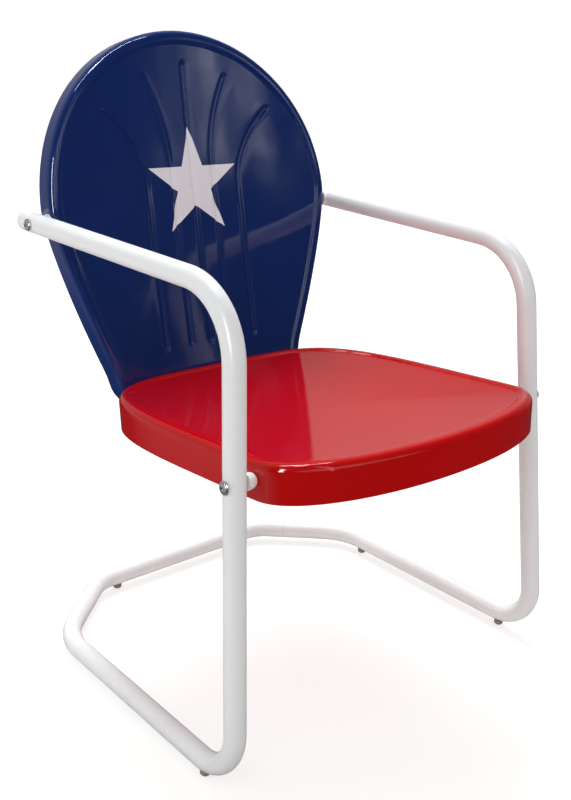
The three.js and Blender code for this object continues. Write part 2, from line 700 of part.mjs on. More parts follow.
/** How far a place on a shell's pan lies from the dish's centre, as a share of the way to the rim. */
function panShare(shape, x, y) {
  const { inset } = rimProfile(0, shape.step).slice(-1)[0];
  const place = new THREE.Vector2(x, y - shape.centre);
  const edge = shape.outline.map(({ point, outward }) => new THREE.Vector2(
    point.x - outward.x * inset,
    point.y - outward.y * inset - shape.centre,
  ));
  const start = edge.findIndex((corner, i) => {
    const next = edge[(i + 1) % edge.length];
    return corner.cross(place) >= 0 && place.cross(next) >= 0;
  });
  const side = edge[(start + 1) % edge.length].clone().sub(edge[start]);
  return place.cross(side) / edge[start].cross(side);
}

/** Height of the back's front face at a place in its own frame. */
function backFaceHeight(x, up) {
  return panHeight(backShape, panShare(backShape, x, up)) + backShape.bow(x);
}

/** Centre line of a flute: straight up from the bottom, then bending out to its top end. */
function flutePath(offset, bend, topOffset, top) {
  const bendPoint = new THREE.Vector2(offset, bend);
  const straight = new THREE.LineCurve(new THREE.Vector2(offset, FLUTE_BOTTOM_HEIGHT), bendPoint);
  const curved = new THREE.QuadraticBezierCurve(
    bendPoint,
    new THREE.Vector2(offset, (bend + top) / 2),
    new THREE.Vector2(topOffset, top),
  );
  const plan = [
    ...straight.getPoints(FLUTE_STRAIGHT_STEPS),
    ...curved.getPoints(FLUTE_BEND_STEPS).slice(1),
  ];
  return new PointPath(plan.map(
    ({ x, y }) => new THREE.Vector3(x, y, backFaceHeight(x, y) + FLUTE_LIFT_HEIGHT),
  ));
}

/** A round bar along a flute's centre line. */
function fluteBar(path, radius) {
  const section = new THREE.Shape();
  section.absarc(0, 0, radius, 0, 2 * Math.PI, false);
  return toSolid(new THREE.ExtrudeGeometry(section, {
    steps: path.stations.length - 1,
    curveSegments: FLUTE_SIDES / 2,
    extrudePath: path,
  }));
}

/** The centre lines of all five flutes. */
function flutePaths() {
  const paths = [flutePath(0, OUTER_FLUTE_BEND_HEIGHT, 0, CENTRE_FLUTE_TOP_HEIGHT)];
  for (const side of [-1, 1]) {
    paths.push(flutePath(
      side * MIDDLE_FLUTE_OFFSET,
      MIDDLE_FLUTE_BEND_HEIGHT,
      side * MIDDLE_FLUTE_TOP_OFFSET,
      MIDDLE_FLUTE_TOP_HEIGHT,
    ));
    paths.push(flutePath(
      side * OUTER_FLUTE_OFFSET,
      OUTER_FLUTE_BEND_HEIGHT,
      side * OUTER_FLUTE_TOP_OFFSET,
      OUTER_FLUTE_TOP_HEIGHT,
    ));
  }
  return paths;
}

/** The space just behind the back's front face, as deep as the flutes are pressed. */
function spaceBehindFace() {
  const depth = 2 * FLUTE_RADIUS;
  const pan = rimProfile(BACK_SKIRT_DEPTH, backShape.step).slice(-1);
  const floor = [{ inset: pan[0].inset, rise: pan[0].rise - depth }];
  const centreHeight = panHeight(backShape, 0);
  return toSolid(skinFromRings(
    shellRings(backShape, pan, 0),
    shellRings(backShape, floor, depth),
    new THREE.Vector3(0, backShape.centre, centreHeight),
    new THREE.Vector3(0, backShape.centre, centreHeight - depth),
  ));
}

/** Back shell: the pressed sheet with its five flutes pushed through from the front. */
function addBackShell() {
  const toBack = backPlace.matrixWorld.clone().invert();
  const behind = spaceBehindFace();
  let shell = pressedShell(backShape, BACK_SKIRT_DEPTH);
  const paths = flutePaths();
  for (const path of paths) {
    shell = shell.add(fluteBar(path, FLUTE_RADIUS + SHEET_THICKNESS).intersect(behind));
  }
  for (const path of paths) {
    shell = shell.subtract(fluteBar(path, FLUTE_RADIUS));
  }
  for (const offset of joinBoltOffsets) {
    shell = shell.subtract(toSolid(joinBoltHole(offset).applyMatrix4(toBack)));
  }
  for (const point of Object.values(rearBoltPoints)) {
    const hole = roundAlongX(BOLT_DIAMETER / 2 + FIT_GAP, 2 * BACK_SKIRT_DEPTH, point);
    shell = shell.subtract(toSolid(hole.applyMatrix4(toBack)));
  }
  backPlace.add(addPiece('back_shell', toGeometry(shell), BLUE_ENAMEL));
}

/** A hexagonal bar standing on Z with a round hole through it, or none. */
function hexagon(acrossFlats, height, boreRadius) {
  const radius = acrossFlats / 2 / Math.cos(Math.PI / HEXAGON_SIDES);
  const shape = new THREE.Shape();
  shape.setFromPoints(Array.from({ length: HEXAGON_SIDES }, (_, i) => {
    const angle = 2 * Math.PI * i / HEXAGON_SIDES;
    return new THREE.Vector2(radius * Math.cos(angle), radius * Math.sin(angle));
  }));
  if (boreRadius > 0) {
    const bore = new THREE.Path();
    bore.absarc(0, 0, boreRadius, 0, 2 * Math.PI, true);
    shape.holes.push(bore);
  }
  return new THREE.ExtrudeGeometry(shape, {
    depth: height,
    bevelEnabled: false,
    curveSegments: ROUND_SIDES / 2,
  });
}

/** Ring washer standing on Z. */
function washer(outerRadius, boreRadius) {
  return turned([
    [boreRadius, 0],
    [outerRadius, 0],
    [outerRadius, WASHER_THICKNESS],
    [boreRadius, WASHER_THICKNESS],
    [boreRadius, 0],
  ]);
}

/** Button-head bolt with a six-sided socket; its head stands on Z above 0 and its shank hangs below. */
function buttonBolt(shankLength) {
  const headRadius = BOLT_HEAD_DIAMETER / 2;
  const shankRadius = BOLT_DIAMETER / 2;
  const profile = [[0, -shankLength], [shankRadius, -shankLength], [shankRadius, 0], [headRadius, 0]];
  for (let i = 1; i < BOLT_HEAD_STEPS; i += 1) {
    const angle = Math.PI / 2 * i / BOLT_HEAD_STEPS;
    profile.push([headRadius * Math.cos(angle), BOLT_HEAD_HEIGHT * Math.sin(angle)]);
  }
  profile.push([0, BOLT_HEAD_HEIGHT]);
  const socket = hexagon(BOLT_SOCKET_ACROSS, BOLT_SOCKET_DEPTH + BOLT_HEAD_HEIGHT, 0);
  socket.translate(0, 0, BOLT_HEAD_HEIGHT - BOLT_SOCKET_DEPTH);
  return toGeometry(toSolid(turned(profile)).subtract(toSolid(socket)));
}

/** Puts a piece that stands on Z on an axis along X, pointing to its side of the chair. */
function layAlongX(mesh, side, point, distance) {
  mesh.rotation.y = side * Math.PI / 2;
  mesh.position.set(point.x + side * distance, point.y, point.z);
}

/** Frame bolt with its washer, on the outside of a leg or an arm that splays a little. */
function addFrameBolt(name, side, point, shankLength) {
  const washerBase = TUBE_RADIUS + FIT_GAP + WASHER_DIAMETER / 2 * LEG_SPLAY;
  const ring = washer(WASHER_DIAMETER / 2, BOLT_DIAMETER / 2 + FIT_GAP);
  layAlongX(addPiece(`${name}_washer`, ring, ZINC), side, point, washerBase);
  const headBase = washerBase + WASHER_THICKNESS + FIT_GAP;
  layAlongX(addPiece(`${name}_bolt`, buttonBolt(shankLength), ZINC), side, point, headBase);
  return headBase;
}

/** Half the width of a faceted outline at a distance along the chair or up the back. */
function outlineHalfWidth(outline, along) {
  return Math.max(...outline.map(({ point }, i) => {
    const next = outline[(i + 1) % outline.length].point;
    const share = (along - point.y) / (next.y - point.y);
    return share >= 0 && share <= 1 ? Math.abs(point.x + (next.x - point.x) * share) : 0;
  }));
}

/** The skirt beside a bolt: how far its outer face reaches out, and its inner face in. */
function skirtBeside(place, outline, point, outerReach) {
  const along = place.worldToLocal(point.clone()).y;
  const widths = (reach) => [-reach, 0, reach].map((step) => outlineHalfWidth(outline, along + step));
  return {
    outer: Math.max(...widths(outerReach)),
    inner: Math.min(...widths(WASHER_DIAMETER / 2)) - SHEET_THICKNESS,
  };
}

/** A bolt from outside a tube through a skirt, with its washers, and the nut inside the skirt. */
function addThroughBolt(name, side, point, skirtInner) {
  const boreRadius = BOLT_DIAMETER / 2 + FIT_GAP;
  const washerStart = skirtInner - Math.abs(point.x) - FIT_GAP - WASHER_THICKNESS;
  const nutStart = washerStart - FIT_GAP - NUT_HEIGHT;
  const shankLength = TUBE_RADIUS + 2 * FIT_GAP + WASHER_THICKNESS - nutStart + BOLT_POINT_LENGTH;
  addFrameBolt(name, side, point, shankLength);
  const innerWasher = addPiece(`${name}_inner_washer`, washer(WASHER_DIAMETER / 2, boreRadius), ZINC);
  layAlongX(innerWasher, side, point, washerStart);
  const nut = addPiece(`${name}_nut`, hexagon(NUT_ACROSS, NUT_HEIGHT, boreRadius), ZINC);
  layAlongX(nut, side, point, nutStart);
}

/** The seat's fastening to a leg, with a domed bush whose tip rests on the seat's skirt. */
function addSeatFastening(name, side, point) {
  const skirt = skirtBeside(seatPlace, seatShape.outline, point, BUSH_TIP_DIAMETER / 2);
  const bushLength = Math.abs(point.x) - TUBE_RADIUS - END_GAP - skirt.outer - FIT_GAP;
  const boreRadius = BOLT_DIAMETER / 2 + FIT_GAP;
  const tipRadius = BUSH_TIP_DIAMETER / 2;
  const profile = [[boreRadius, 0]];
  for (let i = 0; i <= BUSH_DOME_STEPS; i += 1) {
    const angle = Math.PI / 2 * i / BUSH_DOME_STEPS;
    const radius = tipRadius + (BUSH_DIAMETER / 2 - tipRadius) * Math.sin(angle);
    profile.push([radius, bushLength * (1 - Math.cos(angle))]);
  }
  profile.push([boreRadius, bushLength], [boreRadius, 0]);
  const bush = addPiece(`${name}_seat_bush`, turned(profile), WHITE_PLASTIC);
  layAlongX(bush, side, point, skirt.outer + FIT_GAP - Math.abs(point.x));
  addThroughBolt(`${name}_leg`, side, point, skirt.inner);
}

/** The back's fastening to an arm, with a spacer between skirt and arm. */
function addBackFastening(name, side, point) {
  const skirt = skirtBeside(backPlace, backShape.outline, point, SPACER_DIAMETER / 2);
  const spacerLength = Math.abs(point.x) - TUBE_RADIUS - END_GAP - skirt.outer - FIT_GAP;
  const boreRadius = BOLT_DIAMETER / 2 + FIT_GAP;
  const spacer = addPiece(`${name}_back_spacer`, turned([
    [boreRadius, 0],
    [SPACER_DIAMETER / 2, 0],
    [SPACER_DIAMETER / 2, spacerLength],
    [boreRadius, spacerLength],
    [boreRadius, 0],
  ]), WHITE_ENAMEL);
  layAlongX(spacer, side, point, skirt.outer + FIT_GAP - Math.abs(point.x));
  addThroughBolt(`${name}_arm`, side, point, skirt.inner);
}

/** One hexagon bolt with washer and nut that joins the back to the seat's rear skirt. */
function addJoinBolt(name, offset) {
  const boreRadius = JOIN_BOLT_DIAMETER / 2 + FIT_GAP;
  const curveGap = JOIN_WASHER_DIAMETER / 2 * Math.abs(offset) / BACK_CURVE_RADIUS;
  const backRear = backShape.bow(offset) - BACK_RIM_STEP_DEPTH - SHEET_THICKNESS - FIT_GAP - curveGap;
  const seatInner = backShape.bow(offset) + SHEET_THICKNESS + JOIN_GRIP_LENGTH;
  const place = (mesh, height) => {
    backPlace.add(mesh);
    mesh.position.set(offset, -JOIN_BOLT_DROP, height);
    return mesh;
  };
  const ring = washer(JOIN_WASHER_DIAMETER / 2, boreRadius);
  place(addPiece(`${name}_join_washer`, ring, ZINC), backRear - WASHER_THICKNESS);
  const headTop = backRear - WASHER_THICKNESS - FIT_GAP;
  const shankRadius = JOIN_BOLT_DIAMETER / 2;
  const shankStart = -JOIN_HEAD_HEIGHT / 2;
  const shankEnd = seatInner + JOIN_NUT_HEIGHT + BOLT_POINT_LENGTH - headTop;
  const shank = turned([
    [0, shankStart],
    [shankRadius, shankStart],
    [shankRadius, shankEnd],
    [0, shankEnd],
  ]);
  const head = hexagon(JOIN_HEAD_ACROSS, JOIN_HEAD_HEIGHT, 0);
  head.translate(0, 0, -JOIN_HEAD_HEIGHT);
  place(addPiece(`${name}_join_bolt`, toGeometry(toSolid(shank).add(toSolid(head))), ZINC), headTop);
  const nut = hexagon(JOIN_HEAD_ACROSS, JOIN_NUT_HEIGHT, boreRadius);
  place(addPiece(`${name}_join_nut`, nut, ZINC), seatInner);
}

addSideTube(
  'right',
  right,
  [right.armEnd, right.armCorner, right.foot, rightJoint],
  [ARM_BEND_RADIUS, FOOT_BEND_RADIUS],
  [glidePoints.right_front_glide],
);
addSideTube(
  'left',
  left,
  [left.armEnd, left.armCorner, left.foot, left.runnerRear, leftJoint],
  [ARM_BEND_RADIUS, FOOT_BEND_RADIUS, RUNNER_BEND_RADIUS],
  [glidePoints.left_front_glide, glidePoints.left_rear_glide],
);
addBaseTube();
addSleeve('right_base_sleeve', rightJoint, right.runnerRear);
addSleeve('left_base_sleeve', leftJoint, left.rearBarEnd);
for (const [name, point] of Object.entries(glidePoints)) {
  addGlide(name, point);
}
addArmPlug('right_arm_plug', right);
addArmPlug('left_arm_plug', left);
addSeatFastening('right', -1, frontBoltPoints.right);
addSeatFastening('left', 1, frontBoltPoints.left);
addSeatShell();
addBackShell();
addBackFastening('right', -1, rearBoltPoints.right);
addBackFastening('left', 1, rearBoltPoints.left);
addJoinBolt('right', joinBoltOffsets[0]);
addJoinBolt('middle', joinBoltOffsets[1]);
addJoinBolt('left', joinBoltOffsets[2]);

const bounds = new THREE.Box3().setFromObject(body, true);
const middle = bounds.getCenter(new THREE.Vector3());
body.position.set(-middle.x, -middle.y, -bounds.min.z);

export default chair;
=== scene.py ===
"""Metal spring lawn chair: the fine visible pieces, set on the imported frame.

Metres, +Z up. The chair faces -Y and the sitter's right side is -X. Sizes are written in
millimetres times MM, in the chair's own working frame, whose Y is measured backwards from the
line where legs and runners meet.
"""

import logging
import math
from dataclasses import dataclass, field
from enum import Enum
from typing import Any, Callable, Sequence

import bpy
import numpy as np
from bpy.types import Material, MeshVertex, Node, NodeSocket, NodeTree, Object
from mathutils import Matrix, Vector


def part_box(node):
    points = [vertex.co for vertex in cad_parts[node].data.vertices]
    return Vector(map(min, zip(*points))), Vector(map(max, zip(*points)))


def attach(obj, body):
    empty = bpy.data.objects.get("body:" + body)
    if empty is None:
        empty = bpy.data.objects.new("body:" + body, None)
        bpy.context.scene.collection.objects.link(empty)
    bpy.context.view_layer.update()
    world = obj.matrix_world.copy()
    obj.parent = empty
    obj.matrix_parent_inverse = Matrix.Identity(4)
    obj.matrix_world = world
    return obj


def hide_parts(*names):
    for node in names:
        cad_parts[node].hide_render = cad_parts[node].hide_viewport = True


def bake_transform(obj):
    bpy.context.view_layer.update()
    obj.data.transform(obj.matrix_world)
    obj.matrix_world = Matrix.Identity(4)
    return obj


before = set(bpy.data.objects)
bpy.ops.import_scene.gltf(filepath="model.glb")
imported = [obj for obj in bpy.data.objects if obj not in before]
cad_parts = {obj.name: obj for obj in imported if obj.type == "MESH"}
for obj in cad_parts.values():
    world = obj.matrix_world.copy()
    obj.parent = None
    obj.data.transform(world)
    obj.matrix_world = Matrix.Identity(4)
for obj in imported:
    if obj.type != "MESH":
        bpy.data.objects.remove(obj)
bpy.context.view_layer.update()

MM = 0.001
LOG = logging.getLogger("chair")
X_AXIS = Vector((1, 0, 0))
Z_AXIS = Vector((0, 0, 1))
# Points closer than this are welded.
WELD = 0.002 * MM
# Radius of the smallest ring of a turned piece, where its profile closes.
TIP = 0.1 * MM
QUARTER = math.pi / 2
PURE_WHITE = (1.0, 1.0, 1.0, 1.0)

Profile = Sequence[tuple[float, float]]
Places = dict[str, tuple[Matrix, str]]


class Side(Enum):
    """The sitter's two sides, with the sign of X on each."""

    RIGHT = -1
    LEFT = 1

    @property
    def label(self) -> str:
        """The side's word in the names of pieces."""
        return self.name.lower()


class Body(Enum):
    """The two bodies of the frame that the spring parts."""

    BASE = "base"
    UPPER = "upper"


class Slot(Enum):
    """The record's material slots."""

    WHITE = "white_enamel"
    RED = "red_enamel"
    BLUE = "blue_enamel"
    ZINC = "zinc"
    STEEL = "bare_steel"
    GLIDE = "glide_plastic"
    PLUG = "white_plastic"


# ---------------------------------------------------------------------------
# Modelling moves
# ---------------------------------------------------------------------------


def leave_all() -> None:
    """Leaves edit mode and deselects every object, so that a move acts on one piece alone."""
    if bpy.context.mode != "OBJECT":
        bpy.ops.object.mode_set(mode="OBJECT")
    bpy.ops.object.select_all(action="DESELECT")


def pick(piece: Object) -> None:
    """Makes a piece the only selected and the active object."""
    leave_all()
    piece.select_set(True)
    bpy.context.view_layer.objects.active = piece


def edit(piece: Object, select: bool = False) -> None:
    """Opens a piece in edit mode with all of it or nothing of it selected."""
    pick(piece)
    bpy.ops.object.mode_set(mode="EDIT")
    bpy.ops.mesh.select_all(action="SELECT" if select else "DESELECT")


def edit_points(piece: Object, chosen: Callable[[MeshVertex], bool]) -> None:
    """Opens a piece in edit mode with only some of its points selected.

    Args:
        piece: The piece to edit.
        chosen: Says whether a point is selected.
    """
    edit(piece)
    bpy.ops.mesh.select_mode(type="VERT")
    bpy.ops.object.mode_set(mode="OBJECT")
    for vertex in piece.data.vertices:
        vertex.select = chosen(vertex)
    bpy.ops.object.mode_set(mode="EDIT")


def settle(piece: Object, place: Matrix | None = None) -> Object:
    """Moves a piece to its place and writes that place into its mesh.

    Args:
        piece: The piece, as modelled.
        place: Where it goes, or None where it already is there.

    Returns:
        The piece, with its object at the origin.
    """
    pick(piece)
    if place is not None:
        piece.matrix_world = place @ piece.matrix_world
        bpy.context.view_layer.update()
    bpy.ops.object.transform_apply(location=True, rotation=True, scale=True)
    return piece


def name_new(name: str, place: Matrix | None = None) -> Object:
    """Names and settles the piece that was just added.

    Args:
        name: The piece's name.
        place: Where it goes, or None where it already is there.

    Returns:
        The piece.
    """
    piece = settle(bpy.context.object, place)
    piece.name = piece.data.name = name
    return piece


def apply_modifier(piece: Object, kind: str, **settings: Any) -> None:
    """Adds a modifier to a piece and applies it.

    Args:
        piece: The piece to change.
        kind: Blender's name of the modifier.
        **settings: The modifier's settings.
    """
    pick(piece)
    modifier = piece.modifiers.new(kind.lower(), kind)
    for name, value in settings.items():
        setattr(modifier, name, value)
    bpy.ops.object.modifier_apply(modifier=modifier.name)


def smooth(piece: Object, degrees: float = 35.0) -> None:
    """Shades a piece smooth, with edges that turn by more than the angle kept crisp."""
    pick(piece)
    bpy.ops.object.shade_smooth_by_angle(angle=math.radians(degrees))


def face_outwards(piece: Object, weld: bool = False) -> None:
    """Turns all faces of a piece outwards, and can weld its doubles first."""
    edit(piece, select=True)
    if weld:
        bpy.ops.mesh.remove_doubles(threshold=WELD)
    bpy.ops.mesh.normals_make_consistent(inside=False)
    leave_all()


def flip(piece: Object) -> None:
    """Turns all faces of a piece over."""
    edit(piece, select=True)
    bpy.ops.mesh.flip_normals()
    leave_all()


def copy_of(piece: Object, name: str) -> Object:
    """Makes a copy of a piece, with a name and a mesh of its own."""
    twin = piece.copy()
    twin.data = piece.data.copy()
    twin.name = twin.data.name = name
    bpy.context.scene.collection.objects.link(twin)
    return twin


def discard(piece: Object) -> None:
    """Removes a helper piece such as a cutter or a pattern."""
    bpy.data.objects.remove(piece, do_unlink=True)


def combine(piece: Object, operation: str, other: Object) -> None:
    """Cuts, trims or joins a piece with a closed one, which is then removed.

    Args:
        piece: The piece to change.
        operation: DIFFERENCE, INTERSECT or UNION.
        other: The closed shape.
    """
    apply_modifier(piece, "BOOLEAN", operation=operation, solver="EXACT", object=other)
    discard(other)


def turn_z_to(direction: Vector) -> Matrix:
    """The rotation that lays the Z axis along a direction."""
    return direction.to_track_quat("Z", "Y").to_matrix().to_4x4()


def drill(piece: Object, centre: Vector, axis: Vector, radius: float, length: float) -> None:
    """Drills a round hole through a piece.

    Args:
        piece: The piece to drill.
        centre: The middle of the drill's path.
        axis: The direction of the hole.
        radius: The hole's radius.
        length: The length of the drill's path.
    """
    leave_all()
    bpy.ops.mesh.primitive_cylinder_add(vertices=32, radius=radius, depth=length)
    combine(piece, "DIFFERENCE", name_new("drill", Matrix.Translation(centre) @ turn_z_to(axis)))


def arc(start: int, stop: int, step: int) -> list[tuple[float, float]]:
    """Cosine and sine at each step of an arc, whose limits are in degrees."""
    angles = [math.radians(degrees) for degrees in range(start, stop, step)]
    return [(math.cos(angle), math.sin(angle)) for angle in angles]


def turned(name: str, profile: Profile, ring: bool = False) -> Object:
    """Turns a round piece from its profile, standing on Z, by pushing and scaling a ring.

    Args:
        name: The piece's name.
        profile: Radius and height of each step, from the first end to the last.
        ring: Whether the profile closes on itself, as on a washer.

    Returns:
        The closed round piece.
    """
    leave_all()
    radius, height = profile[0]
    bpy.ops.mesh.primitive_circle_add(vertices=48, radius=radius, location=(0, 0, height))
    piece = name_new(name)
    edit(piece, select=True)
    for next_radius, next_height in [*profile[1:], *(profile[:1] if ring else [])]:
        rise = {"value": (0, 0, next_height - height)}
        bpy.ops.mesh.extrude_region_move(TRANSFORM_OT_translate=rise)
        share = next_radius / radius
        bpy.ops.transform.resize(value=(share, share, 1), center_override=(0, 0, next_height))
        radius, height = next_radius, next_height
    bpy.ops.mesh.select_all(action="SELECT")
    bpy.ops.mesh.remove_doubles(threshold=WELD)
    bpy.ops.mesh.fill_holes(sides=0)
    leave_all()
    face_outwards(piece)
    return piece


def corner_radius(across: float) -> float:
    """Distance from the middle to a corner of a six-sided bar, from that across its flats."""
    return across / 2 / math.cos(math.pi / 6)


def six_sided(name: str, across: float, height: float, base: float = 0.0) -> Object:
    """Makes a six-sided bar standing on Z.

    Args:
        name: The bar's name.
        across: The distance across its flats.
        height: Its height.
        base: The height of its lower end.

    Returns:
        The bar.
    """
    leave_all()
    bpy.ops.mesh.primitive_cylinder_add(
        vertices=6, radius=corner_radius(across), depth=height, location=(0, 0, base + height / 2),
    )
    return name_new(name)


@dataclass
class TubeBender:
    """Bends round tube, as a bending machine does: pushed straight, then swung round each bend.

    Attributes:
        radius: Outer radius of the tube.
        wall: Thickness of its wall.
        sides: Sides of the ring that is pushed.
        steps_per_quarter: Steps in a bend of ninety degrees.
        shortest_push: Length below which the ring stays where it is.
        on_line: How far a stop may lie from the centre line.
    """

    radius: float
    wall: float
    sides: int = 48
    steps_per_quarter: int = 20
    shortest_push: float = 0.01 * MM
    on_line: float = 0.5 * MM

    def push(self, offset: Vector) -> None:
        """Pushes the tube's end straight on."""
        if offset.length > self.shortest_push:
            bpy.ops.mesh.extrude_region_move(TRANSFORM_OT_translate={"value": offset})

    def bend(
        self, name: str, corners: Sequence[Vector], radii: Sequence[float], stops: Sequence[Vector],
    ) -> Object:
        """Makes a tube along straights that round bends join.

        Args:
            name: The tube's name.
            corners: The corners of the centre line, with its two ends.
            radii: The bend radius at each inner corner.
            stops: Points on the straights that get a ring of their own.

        Returns:
            The hollow tube.
        """
        heading = (corners[1] - corners[0]).normalized()
        leave_all()
        bpy.ops.mesh.primitive_circle_add(vertices=self.sides, radius=self.radius)
        tube = name_new(name, Matrix.Translation(corners[0]) @ turn_z_to(heading))
        edit(tube, select=True)
        place = corners[0]
        for before, corner, after, radius in zip(corners, corners[1:], corners[2:], radii):
            incoming = (corner - before).normalized()
            outgoing = (after - corner).normalized()
            angle = incoming.angle(outgoing)
            reach = radius * math.tan(angle / 2)
            axis = incoming.cross(outgoing).normalized()
            start = corner - incoming * reach
            self.push_past(place, start, stops)
            centre = start + axis.cross(incoming).normalized() * radius
            steps = max(4, round(self.steps_per_quarter * angle / QUARTER))
            bpy.ops.mesh.spin(steps=steps, angle=-angle, center=centre, axis=axis)
            place = corner + outgoing * reach
        self.push_past(place, corners[-1], stops)
        leave_all()
        face_outwards(tube, weld=True)
        apply_modifier(tube, "SOLIDIFY", thickness=self.wall, offset=-1.0, use_even_offset=True)
        return tube

    def push_past(self, place: Vector, end: Vector, stops: Sequence[Vector]) -> None:
        """Pushes the tube to a point, with a ring at each stop on the way.

        Args:
            place: Where the tube's end is now.
            end: Where it goes.
            stops: Points that get a ring, if they lie on this straight.
        """
        way = end - place
        for stop in sorted(stops, key=lambda point: (point - place).dot(way)):
            share = (stop - place).dot(way) / way.length_squared
            gap = (place + way * share - stop).length
            if gap < self.on_line and 0 < share < 1:
                self.push(stop - place)
                place, way = stop.copy(), end - stop
        self.push(end - place)


# ---------------------------------------------------------------------------
# Shader nodes
# ---------------------------------------------------------------------------


def linear(code: str) -> tuple[float, float, float, float]:
    """Turns an sRGB hex colour such as "#b80a10" into linear values with an alpha of 1."""
    parts = [int(code[i:i + 2], 16) / 255 for i in (1, 3, 5)]
    bare = [p / 12.92 if p <= 0.04045 else ((p + 0.055) / 1.055) ** 2.4 for p in parts]
    return (*bare, 1.0)


def add_node(
    tree: NodeTree, kind: str, inputs: dict[Any, Any] | None = None, **settings: Any,
) -> Node:
    """Adds a shader node with its settings, values and links.

    Args:
        tree: The node tree.
        kind: The node's type, without its first words.
        inputs: A value or a socket for each input named.
        **settings: The node's own settings.

    Returns:
        The node.
    """
    node = tree.nodes.new(f"ShaderNode{kind}")
    for name, value in settings.items():
        setattr(node, name, value)
    for name, value in (inputs or {}).items():
        if isinstance(value, NodeSocket):
            tree.links.new(value, node.inputs[name])
        else:
            node.inputs[name].default_value = value
    return node


def noise(
    tree: NodeTree, place: NodeSocket, scale: float, detail: float, roughness: float = 0.5,
) -> NodeSocket:
    """Soft noise over the places of a surface or a room."""
    return add_node(tree, "TexNoise", {
        "Vector": place, "Scale": scale, "Detail": detail, "Roughness": roughness,
    }).outputs["Fac"]


def bump(tree: NodeTree, height: NodeSocket, distance: float) -> Node:
    """Waves of the given height in a surface's normal."""
    return add_node(tree, "Bump", {"Height": height, "Distance": distance, "Strength": 1.0})


def maths(tree: NodeTree, operation: str, *values: NodeSocket | float) -> NodeSocket:
    """One step of arithmetic on sockets and numbers."""
    return add_node(tree, "Math", dict(enumerate(values)), operation=operation).outputs[0]


@dataclass(frozen=True)
class Fade:
    """A change of strength with a value, level before and after it.

    Attributes:
        start: The value where it starts.
        end: The value where it ends.
        low: The strength before it.
        high: The strength after it.
        kind: SMOOTHSTEP for soft ends, or LINEAR.
    """

    start: float
    end: float
    low: float = 0.0
    high: float = 1.0
    kind: str = "SMOOTHSTEP"

    def of(self, tree: NodeTree, value: NodeSocket) -> NodeSocket:
        """The strength at a value."""
        return add_node(tree, "MapRange", {
            "Value": value, "From Min": self.start, "From Max": self.end,
            "To Min": self.low, "To Max": self.high,
        }, interpolation_type=self.kind).outputs["Result"]


def bare_tree(block: Material | bpy.types.World) -> NodeTree:
    """The empty node tree of a new material or world."""
    block.use_nodes = True
    block.node_tree.nodes.clear()
    return block.node_tree


# ---------------------------------------------------------------------------
# Finishes
# ---------------------------------------------------------------------------


@dataclass(frozen=True)
class Finish:
    """A surface with an even colour, small waves and small changes of gloss.

    Attributes:
        name: The material's name.
        slot: The record's slot that it stands for. Not used.
        colour: Its main colour.
        shade: The colour of its darker patches.
        roughness: Its mean roughness.
        roughness_spread: How far the roughness strays.
        metallic: 1 for bare metal and 0 for all else.
        coat: Weight of a clear top layer.
        coat_roughness: Roughness of that layer.
        patch: Size of the colour patches.
        ripple: Length of the small waves left by the process.
        ripple_height: Height of the small waves.
        sway: Length of the long waves of the sheet under the finish.
        sway_height: Height of the long waves.
    """

    name: str
    slot: Slot
    colour: str
    shade: str
    roughness: float
    roughness_spread: float
    patch: float
    ripple: float
    ripple_height: float = 0.004 * MM
    sway: float = 75 * MM
    sway_height: float = 0.0
    metallic: float = 0.0
    coat: float = 0.0
    coat_roughness: float = 0.02

    def material(self) -> Material:
        """Builds the material with its nodes."""
        material = bpy.data.materials.new(self.name)
        tree = bare_tree(material)
        place = add_node(tree, "TexCoord").outputs["Object"]
        shader = add_node(tree, "BsdfPrincipled", {
            "Base Color": self.tint(tree, place),
            "Roughness": self.gloss(tree, place),
            "Normal": self.relief(tree, place),
            "IOR": 1.5,
            "Metallic": self.metallic,
            "Coat Weight": self.coat,
            "Coat Roughness": self.coat_roughness,
        })
        add_node(tree, "OutputMaterial", {"Surface": shader.outputs["BSDF"]})
        return material

    def tint(self, tree: NodeTree, place: NodeSocket) -> NodeSocket:
        """Colour that drifts a little over the surface."""
        mix = add_node(tree, "Mix", {
            "Factor": noise(tree, place, 1 / self.patch, 3.0, 0.55),
            6: linear(self.shade), 7: linear(self.colour),
        }, data_type="RGBA")
        return mix.outputs[2]

    def gloss(self, tree: NodeTree, place: NodeSocket) -> NodeSocket:
        """Roughness with faint rubbed and dusty places."""
        low = max(self.roughness - self.roughness_spread, 0.0)
        spread = Fade(0.3, 0.7, low, self.roughness + self.roughness_spread, "LINEAR")
        return spread.of(tree, noise(tree, place, 1 / (self.patch * 0.6), 4.0, 0.6))

    def relief(self, tree: NodeTree, place: NodeSocket) -> NodeSocket:
        """Small waves on long ones."""
        fine = bump(tree, noise(tree, place, 1 / self.ripple, 1.0), self.ripple_height)
        if not self.sway_height:
            return fine.outputs["Normal"]
        slow = bump(tree, noise(tree, place, 1 / self.sway, 0.0), self.sway_height)
        tree.links.new(fine.outputs["Normal"], slow.inputs["Normal"])
        return slow.outputs["Normal"]


# Polyester powder coat, sprayed on the tube and baked: satin gloss with a fine orange peel.
# The real peel is about 1.5 mm long, drawn at 3 mm so that it shows.
POWDER_COAT = Finish(
    "white_powder_coat_on_steel_tube", Slot.WHITE, "#f2f4f6", "#edf0f2",
    roughness=0.3, roughness_spread=0.02, patch=70 * MM, ripple=3 * MM,
)
